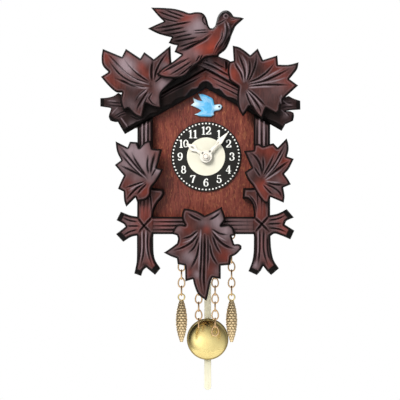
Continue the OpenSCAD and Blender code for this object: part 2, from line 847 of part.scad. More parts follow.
// a closed oval ring of round wire in the dial's plane, standing on its own centre
module oval_ring(length, width) {
    bend_r = width / 2 - wire_r;
    straight = length - width;
    for (s = [-1, 1]) {
        translate([0, 0, s * straight / 2]) rotate([90, 0, 0]) rotate(s > 0 ? 0 : 180)
            rotate_extrude(angle = 180) translate([bend_r, 0]) circle(wire_r, $fn = 16);
        translate([s * bend_r, 0, -straight / 2]) cylinder(r = wire_r, h = straight, $fn = 16);
    }
}

module screw_eye_shanks() {
    for (x = [outer_chain_x, inner_chain_x], s = [-1, 1]) {
        d = x == outer_chain_x ? outer_chain_d : inner_chain_d;
        translate([s * x, -d, case_bottom - 5.4]) cylinder(r = 0.7, h = 5.4);
    }
}

module screw_eyes() {
    color("goldenrod") union() {
        screw_eye_shanks();
        for (x = [outer_chain_x, inner_chain_x], s = [-1, 1]) {
            d = x == outer_chain_x ? outer_chain_d : inner_chain_d;
            translate([s * x, -d, eye_z]) rotate([0, 0, 90]) rotate([90, 0, 0])
                rotate_extrude() translate([eye_r, 0]) circle(wire_r, $fn = 16);
        }
    }
}

// links hang from the eye's lowest point, every second one turned edge-on
module chain(at_x, at_d, links) {
    color("peru") for (i = [0 : links - 1])
        translate([at_x, -at_d, chain_top - link_l / 2 - link_pitch * i])
            rotate([0, 0, i % 2 == 0 ? 0 : 90]) oval_ring(link_l, link_w);
}

module chain_outer_left() {
    chain(-outer_chain_x, outer_chain_d, outer_links);
}

module chain_outer_right() {
    chain(outer_chain_x, outer_chain_d, outer_links);
}

module chain_inner_left() {
    chain(-inner_chain_x, inner_chain_d, 12);
}

module chain_inner_right() {
    chain(inner_chain_x, inner_chain_d, 13);
}

// a slender cone weight with rows of scales and a ring at its top
module cone(at_x) {
    rows = 11;
    last_link = chain_top - link_pitch * (outer_links - 1) - link_l;
    top = last_link + 3 * wire_r + link_play / 2 - 3.9;
    body = [for (i = [0 : rows - 1]) each let (
            z0 = cone_len * i / rows,
            r = 3.7 * pow(sin(12 + 150 * (i + 0.6) / rows), 0.8)
        ) [[r * 0.86, -z0], [r, -z0 - cone_len / rows * 0.75]]];
    color("gold") translate([at_x, -outer_chain_d, top]) union() {
        rotate_extrude() polygon(concat([[0, 0]], body, [[0, -cone_len - 0.8]]));
        translate([0, 0, 1.9]) rotate([90, 0, outer_links % 2 == 0 ? 0 : 90])
            rotate_extrude() translate([2, 0]) circle(wire_r, $fn = 16);
    }
}

module cone_left() {
    cone(-outer_chain_x);
}

module cone_right() {
    cone(outer_chain_x);
}

place() front_panel();
place() side_panel_left();
place() side_panel_right();
place() bottom_board();
place() back_panel();
place() roof_left();
place() roof_right();
place() hanger_rail();
place() hanger_plate();
place() case_screws();
place() battens();
place() roof_front_left();
place() roof_front_right();
place() top_leaf_left();
place() top_leaf_right();
place() crest_log();
place() carved_bird();
place() middle_leaf_left();
place() middle_leaf_right();
place() branch_left();
place() branch_right();
place() bottom_log();
place() bottom_leaf();
place() blue_bird();
place() dial_disc();
place() dial_centre();
place() dial_numerals();
place() hour_hand();
place() minute_hand();
place() hand_nut();
place() front_plate();
place() back_plate();
place() pillars();
place() movement_screws();
place() centre_arbor();
place() centre_wheel();
place() cannon_pinion();
place() minute_wheel();
place() hour_wheel();
place() third_wheel();
place() escape_wheel();
place() great_wheel();
place() winding_arbor();
place() click();
place() click_spring();
place() mainspring();
place() winding_key();
place() anchor();
place() crutch();
place() pendulum_cock();
place() pendulum_rod();
place() bob_shell();
place() bob_back();
place() screw_eyes();
place() chain_outer_left();
place() chain_inner_left();
place() chain_inner_right();
place() chain_outer_right();
place() cone_left();
place() cone_right();
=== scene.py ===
import json
import math

import bmesh
import bpy
import numpy as np
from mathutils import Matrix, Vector
from mathutils.geometry import delaunay_2d_cdt

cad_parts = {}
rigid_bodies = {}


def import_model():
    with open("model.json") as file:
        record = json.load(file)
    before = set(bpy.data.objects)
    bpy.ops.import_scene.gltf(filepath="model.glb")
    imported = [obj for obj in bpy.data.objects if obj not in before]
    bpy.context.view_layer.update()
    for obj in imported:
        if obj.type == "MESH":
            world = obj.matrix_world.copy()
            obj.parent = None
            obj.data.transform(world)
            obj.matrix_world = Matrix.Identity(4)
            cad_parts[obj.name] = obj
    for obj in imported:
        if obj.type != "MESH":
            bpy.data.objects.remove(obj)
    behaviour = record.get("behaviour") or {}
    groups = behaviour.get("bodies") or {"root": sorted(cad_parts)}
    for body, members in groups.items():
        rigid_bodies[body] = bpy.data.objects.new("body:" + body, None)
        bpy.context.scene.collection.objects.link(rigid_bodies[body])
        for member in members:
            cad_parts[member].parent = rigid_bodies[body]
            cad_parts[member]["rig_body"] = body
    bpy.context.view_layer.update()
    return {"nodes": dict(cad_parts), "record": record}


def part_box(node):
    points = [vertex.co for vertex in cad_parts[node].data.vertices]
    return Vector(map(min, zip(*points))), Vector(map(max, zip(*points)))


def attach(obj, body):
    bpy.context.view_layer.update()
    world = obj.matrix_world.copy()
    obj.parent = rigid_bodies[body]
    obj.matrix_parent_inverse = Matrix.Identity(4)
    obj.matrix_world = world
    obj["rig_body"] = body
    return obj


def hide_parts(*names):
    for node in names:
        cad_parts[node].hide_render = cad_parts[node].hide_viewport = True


# Outlines and cuts are in millimetres about the dial's centre, X to the right and Z up.
# Depths are millimetres forward from the wall. place() turns both into the row frame.
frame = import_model()
NODES = frame["nodes"]
RISE = 32.0  # the hanger hole above the dial's centre
FRONT, BRANCH, LEAF = 48.0, 56.0, 62.0  # depths of the panel's, branches' and leaves' faces
scene = bpy.context.scene
scene.view_settings.view_transform = "Standard"


def place(x, d, z):
    """Rows of points in the frame's metres, from places and depths in millimetres."""
    return np.stack([x, -np.asarray(d), np.asarray(z) - RISE], -1) * 0.001


# ---------------------------------------------------------------- materials

def node(tree, kind, inputs=None, **props):
    """A shader node with its settings, and its inputs linked or given a value."""
    n = tree.nodes.new(kind)
    for key, value in props.items():
        setattr(n, key, value)
    for key, value in (inputs or {}).items():
        if isinstance(value, bpy.types.NodeSocket):
            tree.links.new(value, n.inputs[key])
        else:
            n.inputs[key].default_value = value
    return n


def new_material(name):
    m = bpy.data.materials.new(name)
    m.use_nodes = True
    m.node_tree.nodes.clear()
    return m, m.node_tree


def finish_material(tree, shader):
    node(tree, "ShaderNodeOutputMaterial", {"Surface": shader.outputs[0]})


def coords(tree, scale):
    """Object coordinates, scaled along each axis."""
    tc = node(tree, "ShaderNodeTexCoord")
    return node(tree, "ShaderNodeMapping",
                {"Vector": tc.outputs["Object"], "Scale": scale}).outputs[0]


def noise(tree, vector, scale, detail=4.0, rough=0.55, distortion=0.0):
    return node(tree, "ShaderNodeTexNoise",
                {"Vector": vector, "Scale": scale, "Detail": detail, "Roughness": rough,
                 "Distortion": distortion}).outputs["Fac"]


def ramp(tree, fac, stops):
    n = node(tree, "ShaderNodeValToRGB", {"Fac": fac})
    el = n.color_ramp.elements
    while len(el) < len(stops):
        el.new(0.5)
    for e, (at, colour) in zip(el, stops):
        e.position = at
        e.color = (*colour, 1) if len(colour) == 3 else colour
    return n.outputs["Color"]


def span(tree, value, low, high, start=0.0, end=1.0):
    """A value mapped from start and end to low and high."""
    return node(tree, "ShaderNodeMapRange",
                {"Value": value, "From Min": start, "From Max": end, "To Min": low,
                 "To Max": high}).outputs["Result"]


def mix(tree, fac, a, b, blend="MIX"):
    n = tree.nodes.new("ShaderNodeMix")
    n.data_type = "RGBA"
    n.blend_type = blend
    for socket, value in zip((n.inputs[0], n.inputs[6], n.inputs[7]), (fac, a, b)):
        if isinstance(value, bpy.types.NodeSocket):
            tree.links.new(value, socket)
        elif isinstance(value, tuple):
            socket.default_value = (*value, 1)
        else:
            socket.default_value = value
    return n.outputs[2]


def bump(tree, height, strength, distance):
    return node(tree, "ShaderNodeBump",
                {"Height": height, "Strength": strength, "Distance": distance}).outputs[0]


def math_node(tree, operation, a, b):
    return node(tree, "ShaderNodeMath", {0: a, 1: b}, operation=operation).outputs[0]


def tint_channels(tree):
    """The outputs Red, Green and Blue of the tint attribute that the carved meshes carry."""
    tint = node(tree, "ShaderNodeAttribute", attribute_name="tint")
    return node(tree, "ShaderNodeSeparateColor", {"Color": tint.outputs["Color"]}).outputs


def wood(name, dark, mid, light, grain=(700, 700, 60), rough=(0.35, 0.6), coat=0.0,
         depth=0.00006, tinted=False, flecks=0.0, figure=0.62, grey=(0.24, 0.18, 0.20),
         red=(0.21, 0.032, 0.019)):
    """Stained wood: long grain and short pores, with its colour moved by the tint attribute where
    a carving has one. Red darkens, green mixes in a grey-mauve painted sheen highlight and blue
    reddens."""
    m, t = new_material(name)
    long_grain = noise(t, coords(t, grain), 1.0, 6.0, 0.6, 0.4)
    fine = noise(t, coords(t, tuple(2.6 * g for g in grain)), 1.0, 3.0, 0.5)
    cloud = noise(t, coords(t, (45, 45, 30)), 1.0, 3.0, 0.5, 0.6)
    both = math_node(t, "ADD", math_node(t, "MULTIPLY", long_grain, figure),
                     math_node(t, "MULTIPLY", cloud, 1 - figure))
    colour = ramp(t, both, [(0.34, dark), (0.5, mid), (0.66, light)])
    pores = span(t, fine, 1.0, 0.0, 0.36, 0.47)
    colour = mix(t, math_node(t, "MULTIPLY", pores, 0.55), colour, tuple(0.45 * c for c in dark))
    if flecks:
        spot = noise(t, coords(t, (1100, 1100, 260)), 1.0, 4.0, 0.65, 1.2)
        spot = math_node(t, "MULTIPLY", span(t, spot, 0.0, flecks, 0.53, 0.66), cloud)
        colour = mix(t, spot, colour, (0.45, 0.18, 0.08))
    shade = span(t, cloud, *rough, 0.3, 0.7)
    inputs = {"Coat Weight": coat, "Coat Roughness": 0.3, "Specular IOR Level": 0.3}
    if tinted:
        rgb = tint_channels(t)
        streak = span(t, long_grain, 0.88, 1.08, 0.35, 0.65)
        colour = mix(t, math_node(t, "MULTIPLY", rgb["Blue"], streak), colour, red)
        # Green mixes in the painted sheen: grey is the colour of a highlight painted onto the
        # wood.
        colour = mix(t, math_node(t, "MULTIPLY", rgb["Green"], streak), colour, grey)
        colour = mix(t, rgb["Red"], colour, (0.006, 0.005, 0.005))
        inputs["Specular IOR Level"] = span(t, rgb["Red"], 0.2, 0.08)
        inputs["Coat Weight"] = span(t, rgb["Red"], coat, 0.0)
        shade = math_node(t, "ADD", shade, math_node(t, "MULTIPLY", rgb["Red"], 0.12))
    height = math_node(t, "ADD", math_node(t, "MULTIPLY", long_grain, 0.6),
                       math_node(t, "MULTIPLY", pores, -0.5))
    inputs.update({"Base Color": colour, "Roughness": shade,
                   "Normal": bump(t, height, 0.55, depth)})
    finish_material(t, node(t, "ShaderNodeBsdfPrincipled", inputs))
    return m


def metal(name, colour, dull, rough=(0.16, 0.3), brush=(160, 160, 160), patina=0.35,
          depth=0.00002, tinted=False):
    """Metal with cloudy tarnish, fine scratches and, where a piece has a tint, dark hollows and
    painted shade from the red channel, and a paler gold from the blue.
    """
    m, t = new_material(name)
    cloud = noise(t, coords(t, (110, 110, 110)), 1.0, 5.0, 0.6, 0.5)
    scratch = noise(t, coords(t, tuple(9.0 * b for b in brush)), 1.0, 3.0, 0.6)
    shade = mix(t, span(t, cloud, 0.0, patina, 0.4, 0.75), colour, dull)
    if tinted:
        rgb = tint_channels(t)
        shade = mix(t, rgb["Blue"], shade, (1.0, 0.78, 0.49))
        shade = mix(t, rgb["Red"], shade, tuple(0.2 * c for c in dull))
        scratch = math_node(t, "ADD", scratch, math_node(t, "MULTIPLY", rgb["Blue"], 3.0))
    roughness = math_node(t, "ADD", span(t, cloud, *rough, 0.35, 0.7),
                          math_node(t, "MULTIPLY", scratch, 0.08))
    finish_material(t, node(t, "ShaderNodeBsdfPrincipled", {
        "Base Color": shade, "Metallic": 1.0, "Roughness": roughness,
        "Normal": bump(t, scratch, 0.25, depth)}))
    return m


def paint(name, colour, worn, rough=(0.3, 0.45), depth=0.00002, coat=0.0, tinted=False,
          pale=(0.8, 0.9, 0.95)):
    """Lacquer, plastic or print with a faint mottle and fine orange peel."""
    m, t = new_material(name)
    cloud = noise(t, coords(t, (140, 140, 140)), 1.0, 4.0, 0.6, 0.3)
    peel = noise(t, coords(t, (1400, 1400, 1400)), 1.0, 2.0, 0.5)
    shade = mix(t, span(t, cloud, 0.0, 1.0, 0.35, 0.75), colour, worn)
    if tinted:
        rgb = tint_channels(t)
        # Green mixes towards pale and red towards near black; on the hands both mark painted shade
        # in the grooves, along the edges and in the holes.
        shade = mix(t, rgb["Green"], shade, pale)
        shade = mix(t, rgb["Red"], shade, (0.01, 0.012, 0.015))
    finish_material(t, node(t, "ShaderNodeBsdfPrincipled", {
        "Base Color": shade, "Roughness": span(t, cloud, *rough, 0.3, 0.7),
        "Specular IOR Level": 0.25, "Coat Weight": coat, "Coat Roughness": 0.15,
        "Normal": bump(t, peel, 0.3, depth)}))
    return m


MATERIALS = {
    "case_wood": wood("mahogany_panel", (0.085, 0.017, 0.013), (0.145, 0.032, 0.024),
                      (0.215, 0.056, 0.038), (620, 300, 85), (0.42, 0.58), 0.05, flecks=0.75),
    "case_board": wood("mahogany_board", (0.030, 0.009, 0.006), (0.055, 0.016, 0.011),
                       (0.095, 0.028, 0.018), (520, 60, 420), (0.38, 0.58), 0.1),
    "plain_wood": wood("plain_board", (0.33, 0.20, 0.10), (0.46, 0.30, 0.16),
                       (0.56, 0.39, 0.22), (420, 300, 50), (0.55, 0.75)),
    "carved_wood": wood("carved_mahogany", (0.026, 0.008, 0.007), (0.050, 0.015, 0.013),
                        (0.080, 0.025, 0.020), (420, 300, 90), (0.3, 0.48), 0.07,
                        tinted=True, figure=0.4),
    "brass_plate": metal("plate_brass", (0.78, 0.56, 0.25), (0.45, 0.30, 0.12), (0.28, 0.42),
                         (40, 160, 220)),
    "steel": metal("steel", (0.58, 0.58, 0.60), (0.34, 0.33, 0.33), (0.25, 0.4)),
    "spring_steel": metal("spring_steel", (0.30, 0.34, 0.42), (0.16, 0.16, 0.19), (0.25, 0.4)),
    "wheel_brass": metal("wheel_brass", (0.83, 0.62, 0.27), (0.5, 0.34, 0.14), (0.22, 0.36)),
    "blue_plastic": paint("sky_blue", (0.07, 0.36, 0.68), (0.13, 0.50, 0.80), (0.22, 0.36),
                          coat=0.3, tinted=True, pale=(0.62, 0.78, 0.86)),
    "dial_black": paint("dial_black", (0.009, 0.009, 0.008), (0.018, 0.017, 0.016),
                        (0.4, 0.55)),
    "dial_cream": paint("dial_cream", (0.74, 0.72, 0.60), (0.79, 0.78, 0.66), (0.4, 0.55)),
    "dial_white": paint("dial_white", (0.86, 0.87, 0.84), (0.78, 0.79, 0.76), (0.4, 0.55)),
    # its pale colour is the darker pink of the painted shade on the hands
    "hand_ivory": paint("hand_ivory", (0.86, 0.84, 0.77), (0.78, 0.75, 0.66), (0.3, 0.45),
                        coat=0.2, tinted=True, pale=(0.60, 0.50, 0.46)),
    "polished_brass": metal("polished_brass", (0.87, 0.73, 0.32), (0.62, 0.38, 0.14),
                            (0.17, 0.27), patina=0.35, tinted=True),
    "rod_cream": paint("rod_cream", (0.85, 0.83, 0.66), (0.78, 0.75, 0.55), (0.3, 0.45),
                       coat=0.2),
    "chain_copper": metal("chain_copper", (0.88, 0.62, 0.35), (0.52, 0.29, 0.13),
                          (0.2, 0.34), patina=0.7, tinted=True),
}
slot_of = {s["node"]: s["material_slot"] for s in frame["record"]["subparts"]}
for name, ob in NODES.items():
    ob.data.materials.clear()
    ob.data.materials.append(MATERIALS[slot_of[name]])


# ---------------------------------------------------------------- shapes

SEAM_SIDE, SEAM_SNAP = 0.15, 0.4  # how near a seam a side lies, or a corner is moved onto it
BACK_STAIN = 0.8  # how black the unseen backs are


def curve(points, pitch=0.5, corner=38.0, closed=True):
    """Points along a path, rounded everywhere but at its sharp corners."""
    p = np.array(points, float)
    n = len(p)
    out = []
    for i in range(n if closed else n - 1):
        a, b = p[i], p[(i + 1) % n]
        before = p[i - 1] if closed or i > 0 else a
        after = p[(i + 2) % n] if closed or i + 2 < n else b
        chord = b - a
        length = np.linalg.norm(chord)

        def slope(q0, q1, q2):
            u, v = q1 - q0, q2 - q1
            nu, nv = np.linalg.norm(u), np.linalg.norm(v)
            if min(nu, nv) < 1e-9 or np.dot(u, v) / nu / nv < math.cos(math.radians(corner)):
                return chord
            d = u / nu + v / nv
            return d / np.linalg.norm(d) * min(length, 1.4 * min(nu, nv))

        ma, mb = slope(before, a, b), slope(a, b, after)
        steps = max(1, round(length / pitch))
        for k in range(steps):
            s = k / steps
            out.append((2 * s**3 - 3 * s**2 + 1) * a + (s**3 - 2 * s**2 + s) * ma
                       + (3 * s**2 - 2 * s**3) * b + (s**3 - s**2) * mb)
    if not closed:
        out.append(p[-1])
    return np.array(out)


def outline(name, depth):
    """The corners of a CAD node's flat face at that depth, counter-clockwise."""
    me = NODES[name].data
    key = [(round(v.co.x * 1000, 3), round(v.co.z * 1000 + RISE, 3)) for v in me.vertices]
    flat = [abs(v.co.y * 1000 + depth) < 0.01 for v in me.vertices]
    edges = set()
    for p in me.polygons:
        if all(flat[i] for i in p.vertices):
            ring = [key[i] for i in p.vertices]
            edges.update(zip(ring, ring[1:] + ring[:1]))
    follow = {a: b for a, b in edges if (b, a) not in edges}
    start = here = min(follow)
    loop = [start]
    while follow[here] != start:
        here = follow[here]
        loop.append(here)
    p = np.array(loop)
    q = np.roll(p, -1, 0)
    return p if (p[:, 0] * q[:, 1] - q[:, 0] * p[:, 1]).sum() > 0 else p[::-1]


def ring_edges(ring, seams=()):
    """The starts and ends of a ring's sides, less those that lie along a seam."""
    keep = np.ones(len(ring), bool)
    for seam in seams:
        near = distance(ring, np.array(seam, float))[0] < SEAM_SIDE
        keep &= ~(near & np.roll(near, -1))
    return ring[keep], np.roll(ring, -1, 0)[keep]


def snap(ring, seam):
    """A ring with its points near an upright seam moved onto it."""
    near = distance(ring, seam)[0] < SEAM_SNAP
    ring = ring.copy()
    ring[near, 0] = seam[0, 0]
    return ring


def distance(points, path, ends=None):
    """Distance from each point to a path, and how far along the path that is, from 0 to 1.
    Given two lists, it measures to the sides between them."""
    path = np.asarray(path, float)
    starts, ends = (path[:-1], path[1:]) if ends is None else (path, ends)
    lengths = np.linalg.norm(ends - starts, axis=1)
    total = max(lengths.sum(), 1e-9)
    best = np.full(len(points), 1e9)
    along = np.zeros(len(points))
    gone = 0.0
    for a, b, length in zip(starts, ends, lengths):
        if length > 1e-9:
            t = np.clip((points - a) @ (b - a) / length**2, 0, 1)
            d = np.hypot(*(points - a - t[:, None] * (b - a)).T)
            near = d < best
            best[near] = d[near]
            along[near] = (gone + t[near] * length) / total
        gone += length
    return best, along


def inside(points, ring):
    """Whether each point lies within a ring."""
    odd = np.zeros(len(points), bool)
    for a, b in zip(ring, np.roll(ring, -1, 0)):
        if a[1] != b[1]:
            cross = (points[:, 1] > a[1]) != (points[:, 1] > b[1])
            at = a[0] + (points[:, 1] - a[1]) * (b[0] - a[0]) / (b[1] - a[1])
            odd ^= cross & (points[:, 0] < at)
    return odd


def set_tint(me, tint):
    """Stores the three tint channels of every vertex, which hold stains and also painted shade and
    painted highlights.
    """
    layer = me.attributes.new("tint", "FLOAT_COLOR", "POINT")
    rgba = np.ones((len(me.vertices), 4), np.float32)
    rgba[:, :3] = np.clip(tint, 0, 1)
    layer.data.foreach_set("color", rgba.ravel())


def piece(name, me, replaced, smooth=True):
    """Makes an object of a mesh, in place of the CAD nodes named, with their finish."""
    ob = bpy.data.objects.new(name, me)
    scene.collection.objects.link(ob)
    slot = slot_of[replaced[0]]
    me.materials.append(MATERIALS[slot])
    if smooth:
        me.polygons.foreach_set("use_smooth", [True] * len(me.polygons))
    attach(ob, NODES[replaced[0]]["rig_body"])
    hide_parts(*replaced)
    return ob


def mesh_of(name, verts, faces):
    """A mesh of vertices in metres."""
    me = bpy.data.meshes.new(name)
    me.from_pydata([tuple(v) for v in verts], [], faces)
    me.update()
    return me


def tidy(me, merged=True):
    """A mesh with its normals turned outwards, and its doubled points merged."""
    bm = bmesh.new()
    bm.from_mesh(me)
    if merged:
        bmesh.ops.remove_doubles(bm, verts=bm.verts, dist=2e-6)
    bmesh.ops.recalc_face_normals(bm, faces=bm.faces)
    bm.to_mesh(me)
    bm.free()
    return me


def carve(name, replaced, ring, back, field, pitch=0.42, seams=(), holes=()):
    """A carved board with a flat back and upright sides. field gives the front's depth and
    tint at every point from its place and its distance from the edge."""
    for seam in seams:
        ring = snap(ring, np.array(seam, float))
    rings = [ring, *holes]
    starts, ends = (np.vstack(side) for side in zip(*(ring_edges(r) for r in rings)))
    lo, hi = ring.min(0) - pitch, ring.max(0) + pitch
    rows = np.arange(lo[1], hi[1], pitch * 0.87)
    grid = np.array([(x, z) for i, z in enumerate(rows)
                     for x in np.arange(lo[0] + (i % 2) * pitch / 2, hi[0], pitch)])
    grid = grid[inside(grid, ring)]
    grid = grid[distance(grid, starts, ends)[0] > 0.5 * pitch]
    cuts, first = [], len(ring)
    for hole in holes:
        grid = grid[~inside(grid, hole)]
        cuts += [(first + i, first + (i + 1) % len(hole)) for i in range(len(hole))]
        first += len(hole)
    made = delaunay_2d_cdt([Vector(p) for p in np.vstack([*rings, grid])], cuts,
                           [list(range(len(ring)))], 1, 1e-5)
    xz = np.array([tuple(v) for v in made[0]])
    faces = [list(f) for f in made[2]]
    centres = np.array([xz[f].mean(0) for f in faces])
    for hole in holes:
        kept = ~inside(centres, hole)
        faces = [f for f, k in zip(faces, kept) if k]
        centres = centres[kept]
    if seams:
        starts, ends = ring_edges(ring, seams)
    depth, tint = field(xz, distance(xz, starts, ends)[0])
    edges = {e for f in faces for e in zip(f, f[1:] + f[:1])}
    rim = [e for e in edges if e[::-1] not in edges]
    n, front = len(xz), len(faces)
    verts = np.vstack([place(xz[:, 0], depth, xz[:, 1]),
                       place(xz[:, 0], np.full(n, back), xz[:, 1])])
    faces = faces + [[b, a, n + a, n + b] for a, b in rim] + [[n + i for i in f[::-1]]
                                                            for f in faces]
    me = mesh_of(name, verts, faces)
    set_tint(me, np.vstack([tint, np.tile([BACK_STAIN, 0.0, 0.0], (n, 1))]))
    ob = piece(name, me, replaced, smooth=False)
    me.polygons.foreach_set("use_smooth", [i < front for i in range(len(me.polygons))])
    return ob


def blobs(xz, spots):
    """The sum of soft round spots, each (x, z, radius, amount)."""
    out = np.zeros(len(xz))
    for x, z, r, amount in spots:
        out += amount * np.exp(-((xz[:, 0] - x) ** 2 + (xz[:, 1] - z) ** 2) / r**2)
    return out


def relief(xz, edge, top, cuts, rim=(1.5, 1.6), dome=(1.6, 3.0), ends=(), grey=(), red=(),
           dark=(), waves=0.0, swells=(), ridges=(), ink=1.5):
    """Depth and tint of a carved surface: a rounded rim inked to a width, a domed body, V cuts
    with raised lips, thin ridges, sawn ends, hollows and swells. Pale painted highlights run just
    inside the inked rim, along the lips and along the ridges, and join the grey spots in the green
    channel."""
    rim_w, rim_h = rim
    dome_h, dome_w = dome
    roll = np.clip(1 - edge / rim_w, 0, 1)
    depth = top - rim_h * (1 - np.sqrt(1 - roll**2 * 0.999)) - dome_h * np.exp(-edge / dome_w)
    black = np.clip((ink - edge) / 0.6, 0, 1)
    # painted highlight: a pale line just inside the inked rim
    pale = 0.3 * np.exp(-(((edge - ink - 0.25) / 0.35) ** 2))
    for path, width, deep in cuts:
        d, t = distance(xz, curve(path, 0.8, 60, closed=False))
        taper = np.clip(np.minimum(t * 5 + 0.25, (1 - t) * 3.2), 0, 1) ** 0.8
        w = width * (0.45 + 0.55 * taper)
        v = np.clip(1 - d / w, 0, 1)
        depth -= deep * taper * v**0.8
        lip = np.exp(-(((d - w * 1.25) / 0.33) ** 2)) * taper
        depth += 0.16 * lip
        # painted highlight along each lip
        pale = np.maximum(pale, 0.4 * lip)
        black = np.maximum(black, taper * np.clip(1.5 * v, 0, 1))
    for path in ridges:
        d, t = distance(xz, curve(path, 0.8, 60, closed=False))
        taper = np.clip(np.minimum(t * 6 + 0.3, (1 - t) * 3), 0, 1)
        line = taper * np.exp(-((d / 0.45) ** 2))
        depth += 0.22 * line
        # painted highlight along the ridge, clearing the ink under it
        pale = np.maximum(pale, 1.1 * line)
        black *= 1 - line
    for a, b, width in ends:
        d = distance(xz, [a, b])[0]
        band = np.clip((width - d) / 0.5, 0, 1)
        depth -= 0.9 * band
        black = np.maximum(black, band)
    depth += blobs(xz, swells)
    if waves:
        depth += waves * (np.sin(xz[:, 0] * 0.9 + 1.7 * np.sin(xz[:, 1] * 0.35))
                          + np.sin(xz[:, 1] * 0.8 + xz[:, 0] * 0.4)) * 0.5
    black = np.maximum(black, np.clip(blobs(xz, dark), 0, 1))
    # green: the grey spots given and the painted highlights
    tint = np.stack([black, np.maximum(blobs(xz, grey), pale), blobs(xz, red)], -1)
    return np.minimum(depth, top), tint


def carving(name, replaced, ring, back, pitch=0.42, seams=(), **how):
    return carve(name, replaced, ring, back, lambda xz, edge: relief(xz, edge, **how), pitch,
                 seams)
